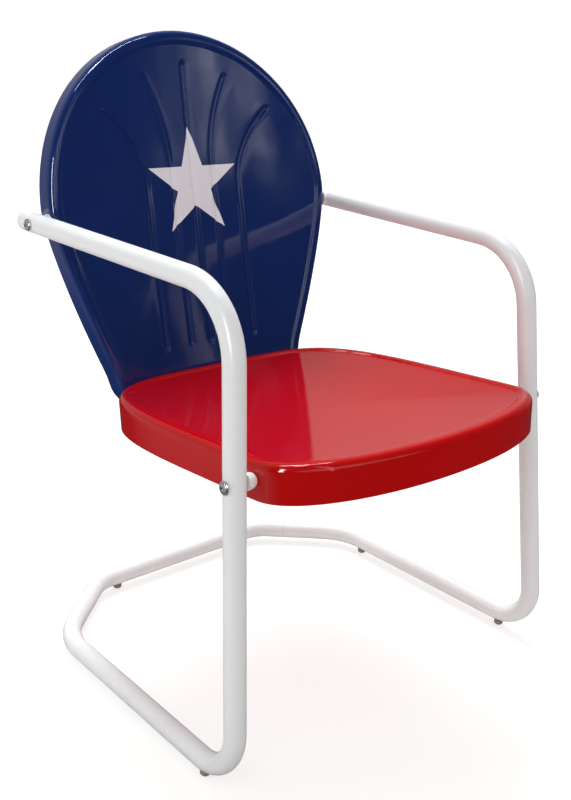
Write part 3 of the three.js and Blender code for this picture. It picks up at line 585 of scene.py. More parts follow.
# Stoving enamel, flooded on pressed sheet and baked: deep gloss over the sheet's own waves.
RED_ENAMEL = Finish(
    "red_stoving_enamel_on_pressed_steel", Slot.RED, "#bc0608", "#b60507",
    roughness=0.08, roughness_spread=0.03, patch=120 * MM, ripple=4 * MM, sway_height=0.45 * MM,
)
BLUE_ENAMEL = Finish(
    "blue_stoving_enamel_on_pressed_steel", Slot.BLUE, "#122c6c", "#102863",
    roughness=0.08, roughness_spread=0.03, patch=120 * MM, ripple=4 * MM, sway_height=0.2 * MM,
    coat=0.15,
)
# Screen-printed enamel film: white, a little less glossy than the ground under it.
STAR_PAINT = Finish(
    "white_screen_printed_enamel", Slot.WHITE, "#f0f6ff", "#eef1f8",
    roughness=0.16, roughness_spread=0.03, patch=30 * MM, ripple=4 * MM,
)
# Bright zinc plate on cold-formed screws and pressed washers: pale grey with cloudy gloss.
ZINC_PLATE = Finish(
    "bright_zinc_plate", Slot.ZINC, "#e6e7e5", "#c9cac9",
    roughness=0.32, roughness_spread=0.1, patch=5 * MM, ripple=0.8 * MM, metallic=1.0,
)
# Drawn steel without paint inside the tubes: dull grey with drawing lines.
DRAWN_STEEL = Finish(
    "bare_drawn_steel", Slot.STEEL, "#8f8f8c", "#75736f",
    roughness=0.42, roughness_spread=0.12, patch=8 * MM, ripple=1 * MM,
    ripple_height=0.006 * MM, metallic=1.0,
)
# Injection-moulded polyethylene glide: waxy grey-brown, scuffed where it slides.
GLIDE_PLASTIC = Finish(
    "moulded_polyethylene_glide", Slot.GLIDE, "#a89e90", "#8f8678",
    roughness=0.5, roughness_spread=0.12, patch=6 * MM, ripple=1.2 * MM, ripple_height=0.02 * MM,
)
# Injection-moulded plugs and bushes: white and a little duller than the powder coat.
PLUG_PLASTIC = Finish(
    "white_moulded_polyethylene_plug", Slot.PLUG, "#f0f0ee", "#e9e9e6",
    roughness=0.38, roughness_spread=0.06, patch=12 * MM, ripple=1.5 * MM, ripple_height=0.01 * MM,
)


class PaintShop:
    """Builds each finish once and puts it on pieces."""

    def __init__(self) -> None:
        """Opens the shop with no finish built."""
        self.made: dict[str, Material] = {}

    def coat(self, piece: Object, finish: Finish) -> None:
        """Gives a piece its finish."""
        if finish.name not in self.made:
            self.made[finish.name] = finish.material()
        piece.data.materials.clear()
        piece.data.materials.append(self.made[finish.name])


SHOP = PaintShop()


def hand_over(
    piece: Object, finish: Finish, replaced: Sequence[str], body: Body | None = Body.UPPER,
) -> None:
    """Finishes a piece, ties it to the frame and reports it.

    Args:
        piece: The finished shape.
        finish: The finish on it.
        replaced: The frame's nodes that it stands for.
        body: The body it rides on, or None where it spans the two and is tied to neither.
    """
    SHOP.coat(piece, finish)
    if body is not None:
        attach(piece, body.value)
    if replaced:
        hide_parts(*replaced)
    LOG.info("%s: %d faces, %s", piece.name, len(piece.data.polygons), finish.name)


def middle_of(node: str) -> Vector:
    """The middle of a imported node's box."""
    low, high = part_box(node)
    return (low + high) / 2


# ---------------------------------------------------------------------------
# The bent tube frame
# ---------------------------------------------------------------------------


@dataclass
class TubeFrame:
    """White tube frame: two arm-and-leg tubes that run on as runners, and the tube behind them.

    Attributes are the tube's sizes and the corners of its centre line, as on the solids.
    """

    diameter: float = 28 * MM
    wall: float = 1.6 * MM
    arm_half_width: float = 261.5 * MM
    arm_spread: float = 0.025
    arm_corner_height: float = 620 * MM
    arm_corner_setback: float = 67 * MM
    arm_rise: float = 0.024
    arm_rear_end: float = 520 * MM
    arm_bend: float = 95 * MM
    foot_bend: float = 62 * MM
    base_bend: float = 60 * MM
    runner_bend: float = 100 * MM
    runner_front_half_width: float = 296.3 * MM
    runner_rear_half_width: float = 291.4 * MM
    runner_rear: float = 416.3 * MM
    rear_bar_half_width: float = 167.4 * MM
    rear_bar_setback: float = 529.3 * MM
    joint_along_runner: float = 222 * MM
    joint_share: float = 0.69
    joint_gap: float = 0.3 * MM
    rest_height: float = 21.7 * MM
    bolt_hole: float = 4.3 * MM
    glide_hole: float = 3.3 * MM
    hole_margin: float = 9 * MM
    middle_setback: float = field(init=False)

    def __post_init__(self) -> None:
        """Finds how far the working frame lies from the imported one."""
        self.middle_setback = self.rear_bar_setback - middle_of("rear_bar_glide").y

    def point(self, x: float, setback: float, height: float) -> Vector:
        """A point of the working frame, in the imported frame."""
        return Vector((x, setback - self.middle_setback, height))

    def corners(self, side: Side) -> dict[str, Vector]:
        """The corners of one side's centre line, by name."""
        arm = self.arm_rear_end - self.arm_corner_setback
        spots = {
            "arm_end": (
                self.arm_half_width + self.arm_spread * arm, self.arm_rear_end,
                self.arm_corner_height + self.arm_rise * arm,
            ),
            "arm_corner": (self.arm_half_width, self.arm_corner_setback, self.arm_corner_height),
            "foot": (self.runner_front_half_width, 0, self.rest_height),
            "runner_rear": (self.runner_rear_half_width, self.runner_rear, self.rest_height),
            "bar_end": (self.rear_bar_half_width, self.rear_bar_setback, self.rest_height),
        }
        return {name: self.point(side.value * x, y, z) for name, (x, y, z) in spots.items()}

    def right_joint(self) -> Vector:
        """Where the right runner meets the base tube."""
        at = self.corners(Side.RIGHT)
        return at["foot"].lerp(at["runner_rear"], self.joint_along_runner / self.runner_rear)

    def left_joint(self) -> Vector:
        """Where the left corner tube meets the base tube."""
        at = self.corners(Side.LEFT)
        return at["runner_rear"].lerp(at["bar_end"], self.joint_share)

    def side_tube(self, side: Side) -> None:
        """Makes one arm, leg and runner from a single tube, which bends between the two bodies."""
        at = self.corners(side)
        foot, corner, arm_end, rear = at["foot"], at["arm_corner"], at["arm_end"], at["runner_rear"]
        line = [arm_end, corner, foot]
        radii = [self.arm_bend, self.foot_bend]
        if side is Side.RIGHT:
            line.append(self.right_joint())
            glides = ["right_front_glide"]
        else:
            line += [rear, self.left_joint()]
            radii.append(self.runner_bend)
            glides = ["left_front_glide", "left_rear_glide"]
        leg_bolt = self.on_line(f"{side.label}_leg_washer", foot, corner)
        arm_bolt = self.on_line(f"{side.label}_arm_washer", corner, arm_end)
        feet = [self.on_line(name, foot, rear) for name in glides]
        stops = self.around(leg_bolt, corner - foot) + self.around(arm_bolt, arm_end - corner)
        for point in feet:
            stops += self.around(point, rear - foot)
        bender = TubeBender(self.diameter / 2, self.wall)
        tube = bender.bend(f"{side.label}_side_tube", line, radii, stops)
        for point in (leg_bolt, arm_bolt):
            drill(tube, point, X_AXIS, self.bolt_hole, 2 * self.diameter)
        for point in feet:
            self.drill_from_below(tube, point)
        smooth(tube)
        replaced = [f"{side.label}_{part}_tube" for part in ("arm_and_leg", "foot_and_runner")]
        hand_over(tube, POWDER_COAT, replaced, None)
        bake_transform(tube)

    def on_line(self, node: str, start: Vector, end: Vector) -> Vector:
        """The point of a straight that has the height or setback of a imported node's middle."""
        near, way = middle_of(node), end - start
        along = max(range(1, 3), key=lambda axis: abs(way[axis]))
        return start + way * ((near[along] - start[along]) / way[along])

    def around(self, point: Vector, way: Vector) -> list[Vector]:
        """Two stops on a straight, one on each side of a hole."""
        step = way.normalized() * self.hole_margin
        return [point - step, point + step]

    def drill_from_below(self, tube: Object, point: Vector) -> None:
        """Drills the hole of a glide's stem into the lower wall of a tube."""
        below = point - Vector((0, 0, self.diameter / 2))
        drill(tube, below, Z_AXIS, self.glide_hole, self.diameter / 2)

    def base_tube(self) -> None:
        """Makes the tube that closes the base behind the runners."""
        right, left = self.corners(Side.RIGHT), self.corners(Side.LEFT)
        start, end = self.right_joint(), self.left_joint()
        start = start + (right["runner_rear"] - start).normalized() * self.joint_gap
        end = end + (left["bar_end"] - end).normalized() * self.joint_gap
        line = [start, right["runner_rear"], right["bar_end"], left["bar_end"], end]
        point = self.point(middle_of("rear_bar_glide").x, self.rear_bar_setback, self.rest_height)
        bender = TubeBender(self.diameter / 2, self.wall)
        radii = [self.runner_bend, self.base_bend, self.base_bend]
        tube = bender.bend("base_tube", line, radii, self.around(point, X_AXIS))
        self.drill_from_below(tube, point)
        smooth(tube)
        hand_over(tube, POWDER_COAT, ["rear_base_tube"], Body.BASE)

    def build(self) -> None:
        """Builds all tubes of the frame."""
        for side in Side:
            self.side_tube(side)
        self.base_tube()


# ---------------------------------------------------------------------------
# Pressed sheets: seat and back
# ---------------------------------------------------------------------------


class Outline:
    """A closed smooth outline, with a place and an inward direction at every share of its length.

    Attributes:
        points: Even points, from the lowest middle point and counterclockwise.
        inward: The inward direction at each point.
        length: The outline's length.
    """

    COUNT = 2400

    def __init__(self, half: np.ndarray, rounding: float) -> None:
        """Mirrors and evens out half an outline.

        Args:
            half: Points from the lowest middle point up the +X side to the highest one.
            rounding: Length over which small kinks are smoothed away.
        """
        other = half[1:-1][::-1] * np.array([-1, 1])
        loop = np.vstack([half, other, half[:1]])
        lengths = run_lengths(loop)
        self.length = lengths[-1]
        even = np.linspace(0, self.length, self.COUNT, endpoint=False)
        points = look_up(even, lengths, loop)
        spread = rounding / (self.length / self.COUNT)
        keep = np.exp(-2 * (np.pi * np.fft.fftfreq(self.COUNT) * spread) ** 2)
        self.points = np.fft.ifft(np.fft.fft(points, axis=0) * keep[:, None], axis=0).real
        along = unit(np.roll(self.points, -1, axis=0) - np.roll(self.points, 1, axis=0))
        self.inward = np.column_stack([-along[:, 1], along[:, 0]])

    def pick(self, shares: np.ndarray, values: np.ndarray) -> np.ndarray:
        """Values of the outline's points, looked up at shares of its length."""
        where = np.mod(np.asarray(shares, float), 1.0) * self.COUNT
        return look_up(where, np.arange(self.COUNT + 1), np.vstack([values, values[:1]]))

    def at(self, shares: np.ndarray, inset: float) -> np.ndarray:
        """Points that lie inside the outline by an inset, at shares of its length."""
        return self.pick(shares, self.points + self.inward * inset)

    def outward_at(self, shares: np.ndarray) -> np.ndarray:
        """The outward directions at shares of the outline's length."""
        return self.pick(shares, -self.inward)


def look_up(where: np.ndarray, marks: np.ndarray, values: np.ndarray) -> np.ndarray:
    """Points between the given ones, at places along their marks."""
    return np.column_stack([np.interp(where, marks, values[:, i]) for i in (0, 1)])


def run_lengths(line: np.ndarray) -> np.ndarray:
    """The length of a line up to each of its points."""
    return np.r_[0, np.cumsum(np.linalg.norm(np.diff(line, axis=0), axis=1))]


def unit(ways: np.ndarray) -> np.ndarray:
    """Directions scaled to a length of 1."""
    return ways / np.linalg.norm(ways, axis=1)[:, None]


def run_of(formula: Callable[[np.ndarray], tuple[Any, Any]], steps: int = 120) -> np.ndarray:
    """Points along a run whose x and y are given by a formula of the share along it."""
    x, y = formula(np.linspace(0, 1, steps + 1))
    return np.column_stack([np.broadcast_to(x, steps + 1), np.broadcast_to(y, steps + 1)])


def power_sine(share: np.ndarray, power: float) -> np.ndarray:
    """The sine over a quarter turn, as a superellipse with the given power needs it."""
    return np.abs(np.sin(share * QUARTER)) ** (2 / power)


def power_cosine(share: np.ndarray, power: float) -> np.ndarray:
    """The cosine over a quarter turn, as a superellipse with the given power needs it."""
    return np.abs(np.cos(share * QUARTER)) ** (2 / power)


def ease(share: np.ndarray) -> np.ndarray:
    """A smooth climb from 0 to 1."""
    kept = np.clip(share, 0, 1)
    return kept * kept * (3 - 2 * kept)


@dataclass
class PressedSheet:
    """A dished steel sheet with a rounded rim bead and a turned-down skirt, in its own frame.

    Attributes:
        sheet: Thickness of the steel.
        roll: Radius of the rim's outer edge.
        bead_width: Width of the bead on the rim.
        step_width: Width of the slope from the bead to the pan.
        pan_inset: How far inside the outline the pan starts.
        rounding: Length over which the outline's kinks are smoothed.
        slope_rings: Mesh rings over the slope.
        skirt_rings: Mesh rings down the skirt.
        edge_samples: Points at which the pan's edge is measured.
        crisp: Angle in degrees above which an edge stays crisp.
        skirt: Drop of the skirt's lower edge below the bead's top.
        step: Drop of the pan's edge.
        dish: Further drop of the pan's middle.
        centre: Place of the pan's middle along the sheet.
    """

    sheet: float = 1.5 * MM
    roll: float = 11 * MM
    bead_width: float = 14.5 * MM
    step_width: float = 6.5 * MM
    pan_inset: float = 23 * MM
    rounding: float = 7 * MM
    slope_rings: int = 9
    skirt_rings: int = 6
    edge_samples: int = 720
    crisp: float = 40.0
    skirt: float = 0.0
    step: float = 0.0
    dish: float = 0.0
    centre: float = 0.0
    outline: Outline = field(init=False)

    def __post_init__(self) -> None:
        """Draws the outline and measures the pan's edge."""
        self.outline = Outline(self.half_outline(), self.rounding)
        shares = np.arange(self.edge_samples) / self.edge_samples
        edge = self.outline.at(shares, self.pan_inset)
        angles = np.arctan2(edge[:, 1] - self.centre, edge[:, 0])
        order = np.argsort(angles)
        self.edge_angles = angles[order]
        self.edge_reach = np.hypot(edge[:, 0], edge[:, 1] - self.centre)[order]

    def half_outline(self) -> np.ndarray:
        """Half of the outline, which each sheet draws for itself."""
        raise NotImplementedError

    def bow(self, x: np.ndarray) -> np.ndarray:
        """How far the whole sheet is bowed forwards at a distance from its middle."""
        return np.zeros_like(x)

    def skirt_lean(self, outward: np.ndarray) -> np.ndarray:
        """How far the skirt leans inwards for each length of its drop."""
        return np.zeros(len(outward))

    def extra(self, x: np.ndarray, y: np.ndarray) -> np.ndarray:
        """Height of what is pressed into the pan besides its dish."""
        return np.zeros_like(x)

    def pan_height(self, x: np.ndarray, y: np.ndarray) -> np.ndarray:
        """Heights of the dished pan at places across and along the sheet."""
        angle = np.arctan2(y - self.centre, x)
        edge = np.interp(angle, self.edge_angles, self.edge_reach, period=2 * np.pi)
        share = np.hypot(x, y - self.centre) / edge
        return -self.step - self.dish * (1 - share ** 2) + self.bow(x) + self.extra(x, y)

    def rim_ring(self, shares: np.ndarray, inset: float, drop: float = 0.0) -> np.ndarray:
        """One ring of points of the rim or the skirt.

        Args:
            shares: The ring's places along the outline.
            inset: How far it lies inside the outline.
            drop: How far below the bead's top it lies.

        Returns:
            The ring's points.
        """
        outward = self.outline.outward_at(shares)
        lean = self.skirt_lean(outward) * max(drop - self.roll, 0.0)
        x, y = (self.outline.at(shares, inset) - outward * lean[:, None]).T
        blend = ease((self.bead_width + self.step_width - inset) / self.step_width)
        height = (self.bow(x) - drop) * blend + self.pan_height(x, y) * (1 - blend)
        return np.column_stack([x, y, height])

    def rim_rings(self, shares: np.ndarray) -> list[np.ndarray]:
        """All rings from the pan's edge to the lower edge of the skirt.

        Args:
            shares: The rings' places along the outline.

        Returns:
            The rings, from the inner one outwards.
        """
        start, end = self.pan_inset - 1.5 * MM, self.bead_width - 0.6 * MM
        slope = np.linspace(start, end, self.slope_rings)
        spots = [(inset, 0.0) for inset in (*slope, self.roll + 2 * MM, self.roll + 0.6 * MM)]
        spots += [(self.roll * (1 - out), self.roll * (1 - up)) for out, up in arc(90, -1, -10)]
        skirt = np.linspace(self.roll, self.skirt, self.skirt_rings + 1)[1:]
        spots += [(0.0, drop) for drop in skirt]
        return [self.rim_ring(shares, inset, drop) for inset, drop in spots]

    def grow_rings(self, piece: Object, inner: np.ndarray, rings: Sequence[np.ndarray]) -> None:
        """Extrudes the sheet's free edge once for each ring and lays it on the ring's points.

        Args:
            piece: The sheet, with one free edge.
            inner: The points of the free edge, in the rings' order.
            rings: The points of each new ring.
        """
        edit(piece)
        bpy.ops.mesh.select_mode(type="EDGE")
        bpy.ops.mesh.select_non_manifold()
        for ring in rings:
            bpy.ops.mesh.extrude_region_move(TRANSFORM_OT_translate={"value": (0, 0, 0)})
            bpy.ops.object.mode_set(mode="OBJECT")
            places = np.empty(len(piece.data.vertices) * 3)
            piece.data.vertices.foreach_get("co", places)
            fresh = places.reshape(-1, 3)[-len(ring):]
            gaps = ((fresh[:, None, :] - inner[None, :, :]) ** 2).sum(axis=2)
            fresh[:] = ring[gaps.argmin(axis=1)]
            piece.data.vertices.foreach_set("co", places)
            piece.data.update()
            bpy.ops.object.mode_set(mode="EDIT")
            inner = ring
        bpy.ops.mesh.select_mode(type="VERT")
        leave_all()

    def thicken(self, piece: Object) -> None:
        """Turns the open face upwards and gives the sheet its thickness behind it."""
        face_outwards(piece)
        if max(piece.data.polygons, key=lambda face: face.area).normal.z < 0:
            flip(piece)
        apply_modifier(piece, "SOLIDIFY", thickness=self.sheet, offset=-1.0, use_even_offset=True)

    def drill_sides(self, piece: Object, part: str, radius: float, length: float) -> None:
        """Drills both sides of a sheet along X, at the middle of a part that stands there.

        Args:
            piece: The sheet, in its place.
            part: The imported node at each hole, without its side's word.
            radius: The holes' radius.
            length: The length of the drill's path.
        """
        for side in Side:
            drill(piece, middle_of(f"{side.label}_{part}"), X_AXIS, radius, length)


@dataclass
class SeatPan(PressedSheet):
    """Red seat pan: bowed front, sides that round into the rear, a shallow dish, a deep skirt."""

    bead_width: float = 14 * MM
    step_width: float = 8.5 * MM
    skirt: float = 49.5 * MM
    step: float = 4 * MM
    dish: float = 14 * MM
    centre: float = 225 * MM
    half_width: float = 245.5 * MM
    height: float = 427.3 * MM
    slope: float = 0.068
    front: float = 54.5 * MM
    widest: float = 41 * MM
    rear: float = 442 * MM
    front_power: float = 2.08
    rear_power: float = 4.74
    rear_lean: float = 0.137
    bolt_hole: float = 4.3 * MM
    drill_length: float = 40 * MM
    sides: int = 240
    rings_to_middle: int = 26

    def half_outline(self) -> np.ndarray:
        """Front and rear part of one half of the seat's edge."""
        front = run_of(lambda s: (
            self.half_width * power_sine(s, self.front_power),
            self.widest - (self.front + self.widest) * power_cosine(s, self.front_power),
        ))
        rear = run_of(lambda s: (
            self.half_width * power_cosine(s, self.rear_power),
            self.widest + (self.rear - self.widest) * power_sine(s, self.rear_power),
        ))
        return np.vstack([front, rear[1:]])

    def skirt_lean(self, outward: np.ndarray) -> np.ndarray:
        """The rear skirt leans with the back behind it."""
        return self.rear_lean * np.maximum(outward[:, 1], 0) ** 2

    def face(self) -> Object:
        """Makes the seat's open upper face from its pan's edge inwards and outwards."""
        shares = np.arange(self.sides) / self.sides
        edge = self.rim_ring(shares, self.pan_inset)
        leave_all()
        bpy.ops.mesh.primitive_circle_add(vertices=self.sides, radius=self.half_width)
        piece = name_new("seat_pan")
        piece.data.vertices.foreach_set("co", edge.ravel())
        rings = []
        for share in np.linspace(1, 0, self.rings_to_middle + 1)[1:-1]:
            x = edge[:, 0] * share
            y = self.centre + (edge[:, 1] - self.centre) * share
            rings.append(np.column_stack([x, y, self.pan_height(x, y)]))
        self.grow_rings(piece, edge, rings)
        innermost = len(piece.data.vertices) - self.sides
        edit_points(piece, lambda vertex: vertex.index >= innermost)
        bpy.ops.mesh.merge(type="CENTER")
        leave_all()
        self.grow_rings(piece, edge, self.rim_rings(shares))
        return piece

    def build(self, tubes: TubeFrame) -> None:
        """Builds the seat pan with its holes on the frame that carries it."""
        piece = self.face()
        self.thicken(piece)
        spot = Matrix.Translation(tubes.point(0, 0, self.height))
        settle(piece, spot @ Matrix.Rotation(-self.slope, 4, "X"))
        self.drill_sides(piece, "seat_bush", self.bolt_hole, self.drill_length)
        smooth(piece, self.crisp)
        hand_over(piece, RED_ENAMEL, ["seat_shell"])


@dataclass
class Flute:
    """One flute of the back: straight up from its lower end, then bending outwards.

    Attributes:
        offset: Distance from the back's middle line at the lower end.
        bend: Height where it starts to bend.
        top_offset: Distance from the middle line at the upper end.
        top: Height of the upper end.
        bottom: Height of the lower end.
    """

    offset: float
    bend: float
    top_offset: float
    top: float
    bottom: float = 32 * MM

    def line(self) -> np.ndarray:
        """The points of its centre line."""
        straight = run_of(lambda s: (self.offset, self.bottom + (self.bend - self.bottom) * s), 60)
        middle = (self.bend + self.top) / 2
        bent = run_of(lambda s: (
            self.offset * (1 - s) ** 2 + 2 * self.offset * s * (1 - s) + self.top_offset * s * s,
            self.bend * (1 - s) ** 2 + 2 * middle * s * (1 - s) + self.top * s * s,
        ), 60)
        return np.vstack([straight, bent[1:]])


# The press tool sat a little to the sitter's left of the sheet's middle.
PRESS_OFFSET = 3 * MM
# Foot, bend, tip and top of each flute, in millimetres from the tool's middle and the seat.
FLUTES = (
    (-85, 270, -149, 383), (-38, 300, -75, 432), (0, 270, 0, 450),
    (38, 300, 75, 432), (85, 270, 149, 383),
)


@dataclass
class BackPanel(PressedSheet):
    """Blue round-topped back: five flutes fanning upwards, a rim bead and a skirt behind.

    The sheet is meshed along its flutes, so that each one is smooth from end to end. A mesh
    column is a tuple: its points, and the outline's shares where it starts and ends.

    Attributes are the back's sizes, and these for its mesh.
        corner_shares: Shares of the outline where the mesh has its lower and upper corner.
        side_marks: Shares of the side's edge at the ends of the flutes and of the mesh.
        tracks: Mesh columns' distances from a flute's middle line.
        gaps: How many columns lie between the edge, the flutes and the other edge.
        end_rows: Mesh rows' distances from a flute's end.
        far_rows: Those of the rows above it that follow.
        rows_below: Number of further rows below a flute.
        rows_along: Number of further rows along it.
        start_below: Distance of the first further row below it.
        start_along: Distance of the first further row along it.
        low_limits: Shares of the outline that the flutes' lower ends can point at.
        high_limits: Shares of the outline that their upper ends can point at.
        search_steps: Shares that are tried for each end.
        reach_below: Usual length of the rows below a flute.
        reach_above: Usual length of the rows above it.
        span: Usual length of a flute.
    """

    skirt: float = 33 * MM
    step: float = 2.5 * MM
    dish: float = 4 * MM
    centre: float = 330 * MM
    lean: float = 0.2017
    setback: float = 444 * MM
    base_height: float = 400 * MM
    half_width: float = 255.4 * MM
    widest: float = 248.6 * MM
    top: float = 500 * MM
    bottom: float = 48 * MM
    bottom_half_width: float = 157.7 * MM
    taper_power: float = 1.32
    corner: float = 48 * MM
    bow_radius: float = 2000 * MM
    flute_depth: float = 2.9 * MM
    flute_reach: float = 6.6 * MM
    star_centre: float = 274 * MM
    star_radius: float = 85.5 * MM
    star_waist: float = 32.7 * MM
    star_margin: float = 12 * MM
    cutter_depth: float = 60 * MM
    paint: float = 0.15 * MM
    paint_lift: float = 0.02 * MM
    bolt_hole: float = 4.3 * MM
    drill_length: float = 50 * MM
    corner_shares: tuple[float, float] = (0.098, 0.315)
    side_marks: tuple[float, ...] = (0.0, 0.16, 0.93, 1.0)
    tracks: tuple[float, ...] = (
        -7.4, -6.2, -5.1, -4.1, -3.1, -2.1, -1.0, 0, 1.0, 2.1, 3.1, 4.1, 5.1, 6.2, 7.4,
    )
    gaps: tuple[int, ...] = (10, 4, 4, 4, 4, 10)
    end_rows: tuple[float, ...] = (0, 1.2, 2.4, 3.6, 4.8, 6.0, 7.4)
    far_rows: tuple[float, ...] = (11, 16, 22, 28)
    rows_below: int = 6
    rows_along: int = 56
    start_below: float = 12 * MM
    start_along: float = 14 * MM
    low_limits: tuple[float, float] = (-0.12, 0.12)
    high_limits: tuple[float, float] = (0.3, 0.7)
    search_steps: int = 1500
    reach_below: float = 56 * MM
    reach_above: float = 28 * MM
    span: float = 370 * MM
    flutes: list[Flute] = field(default_factory=lambda: [
        Flute(PRESS_OFFSET + foot * MM, bend * MM, PRESS_OFFSET + tip * MM, top * MM)
        for foot, bend, tip, top in FLUTES
    ])

    def half_width_at(self, up: np.ndarray) -> np.ndarray:
        """Half the back's width below its widest place."""
        share = np.maximum((self.widest - up) / (self.widest + self.bottom), 0)
        narrowing = (self.half_width - self.bottom_half_width) * share ** self.taper_power
        return self.half_width - narrowing

    def half_outline(self) -> np.ndarray:
        """Bottom, corner, side and top of one half of the back."""
        low = self.corner - self.bottom
        inner = float(self.half_width_at(np.array(low))) - self.corner
        return np.vstack([
            run_of(lambda s: (inner * s, -self.bottom)),
            run_of(lambda s: (
                inner + self.corner * np.sin(s * QUARTER), low - self.corner * np.cos(s * QUARTER),
            ))[1:],
            run_of(lambda s: (
                self.half_width_at(low + (self.widest - low) * s), low + (self.widest - low) * s,
            ))[1:],
            run_of(lambda s: (
                self.half_width * np.cos(s * QUARTER),
                self.widest + (self.top - self.widest) * np.sin(s * QUARTER),
            ))[1:],
        ])

    def bow(self, x: np.ndarray) -> np.ndarray:
        """The back curves forwards to both sides."""
        return x * x / (2 * self.bow_radius)

    def extra(self, x: np.ndarray, y: np.ndarray) -> np.ndarray:
        """The flutes: round-bottomed grooves with round ends."""
        place = np.column_stack([np.ravel(x), np.ravel(y)])
        nearest = np.full(len(place), np.inf)
        for flute in self.flutes:
            line = flute.line()
            for start, way in zip(line, np.diff(line, axis=0)):
                share = np.clip(((place - start) @ way) / (way ** 2).sum(), 0, 1)
                gap = np.hypot(*(place - start - share[:, None] * way).T)
                nearest = np.minimum(nearest, gap)
        share = np.clip(nearest / self.flute_reach, 0, 1)
        return (-self.flute_depth * 0.5 * (1 + np.cos(np.pi * share))).reshape(np.shape(x))

    def share_near(
        self, error: Callable[[np.ndarray], np.ndarray], limits: tuple[float, float],
    ) -> float:
        """The outline's share, between two limits, whose point on the pan's edge errs least."""
        shares = np.linspace(*limits, self.search_steps)
        return float(shares[np.argmin(np.abs(error(self.outline.at(shares, self.pan_inset))))])

    def flute_shares(self, flute: Flute) -> tuple[float, float]:
        """The outline's shares that a flute's two ends point at."""
        low = self.share_near(lambda points: points[:, 0] - flute.offset, self.low_limits)
        line = flute.line()
        way = line[-1] - line[-2]
        across = np.array([way[1], -way[0]]) / np.linalg.norm(way)
        high = self.share_near(lambda points: (points - line[-1]) @ across, self.high_limits)
        return low, high

    def row_shares(self) -> np.ndarray:
        """Row places, close together at the ends of the flutes.

        Returns:
            The places: 0 to 1 below a flute, 1 to 2 along it and 2 to 3 above it.
        """
        near = np.array(self.end_rows) * MM
        outer = np.linspace(self.start_below, self.reach_below, self.rows_below)
        below = 1 - np.r_[near, outer] / self.reach_below
        inner = np.linspace(self.start_along, self.span - self.start_along, self.rows_along)
        along = 1 + np.r_[near[1:], inner, self.span - near[::-1]] / self.span
        far = np.array(self.far_rows) * MM
        above = 2 + np.r_[near[1:], far] / self.reach_above
        return np.r_[below[::-1], along, above]

    def column(self, flute: Flute, rows: np.ndarray, shares: tuple[float, float]) -> np.ndarray:
        """Points of the mesh column along a flute and on to the pan's edge at both ends.

        Args:
            flute: The flute that it follows.
            rows: The row places.
            shares: The outline's shares where it starts and ends.

        Returns:
            The points.
        """
        low, high = self.outline.at(np.array(shares), self.pan_inset)
        line = flute.line()
        lengths = run_lengths(line)
        points = look_up(np.clip(rows - 1, 0, 1) * lengths[-1], lengths, line)
        below = np.clip(1 - rows, 0, 1)[:, None] * (low - line[0])
        above = np.clip(rows - 2, 0, 1)[:, None] * (high - line[-1])
        return points + below + above

    def flute_columns(self, flute: Flute, rows: np.ndarray) -> list[tuple]:
        """The mesh columns side by side over one flute."""
        low, high = self.flute_shares(flute)
        line = self.column(flute, rows, (low, high))
        along = unit(np.gradient(line, axis=0))
        across = np.column_stack([along[:, 1], -along[:, 0]])
        length = self.outline.length
        return [
            (line + across * offset, low + offset / length, high - offset / length)
            for offset in np.array(self.tracks) * MM
        ]

    def lattice(self) -> tuple[np.ndarray, np.ndarray]:
        """The pan's mesh points by row and column, and the outline share of each edge point."""
        rows = self.row_shares()
        low, high = self.corner_shares
        side = low + (high - low) * np.interp(rows, range(4), self.side_marks)
        edge = self.outline.at(side, self.pan_inset)
        columns = [(edge * np.array([-1, 1]), -low, 1 - high)]
        groups = [self.flute_columns(flute, rows) for flute in self.flutes]
        for gap, group in zip(self.gaps, [*groups, [(edge, low, high)]]):
            before, after = columns[-1], group[0]
            for share in np.linspace(0, 1, gap + 2)[1:-1]:
                columns.append(tuple(a * (1 - share) + b * share for a, b in zip(before, after)))
            columns += group
        points, bottom, top = zip(*columns)
        grid = np.stack(points, axis=1)
        grid[0] = self.outline.at(np.array(bottom), self.pan_inset)
        grid[-1] = self.outline.at(np.array(top), self.pan_inset)
        return grid, np.concatenate([bottom, side[1:-1], top[::-1], 1 - side[1:-1][::-1]])

    def face(self) -> Object:
        """Makes the back's open front face."""
        grid, edge = self.lattice()
        rows, columns = grid.shape[:2]
        leave_all()
        bpy.ops.mesh.primitive_grid_add(
            x_subdivisions=columns - 1, y_subdivisions=rows - 1, size=self.top,
        )
        piece = name_new("back_panel")
        places = np.dstack([grid, self.pan_height(grid[..., 0], grid[..., 1])])
        piece.data.vertices.foreach_set("co", places.ravel())
        piece.data.update()
        inner = np.vstack([places[0], places[1:-1, -1], places[-1, ::-1], places[1:-1, 0][::-1]])
        self.grow_rings(piece, inner, self.rim_rings(edge))
        return piece

    def star(self, face: Object) -> Object:
        """Makes the star's film of paint from the part of the face under it.

        Args:
            face: The back's front face.

        Returns:
            The star, in the back's frame.
        """
        film = copy_of(face, "star_paint")
        middle = Vector((PRESS_OFFSET, self.star_centre))
        reach = self.star_radius + self.star_margin
        edit_points(film, lambda vertex: (vertex.co.xy - middle).length > reach)
        bpy.ops.mesh.delete(type="VERT")
        leave_all()
        if film.data.polygons[0].normal.z < 0:
            flip(film)
        apply_modifier(film, "SOLIDIFY", thickness=self.paint, offset=1.0)
        settle(film, Matrix.Translation((0, 0, self.paint_lift)))
        combine(film, "INTERSECT", self.star_cutter(middle))
        return film

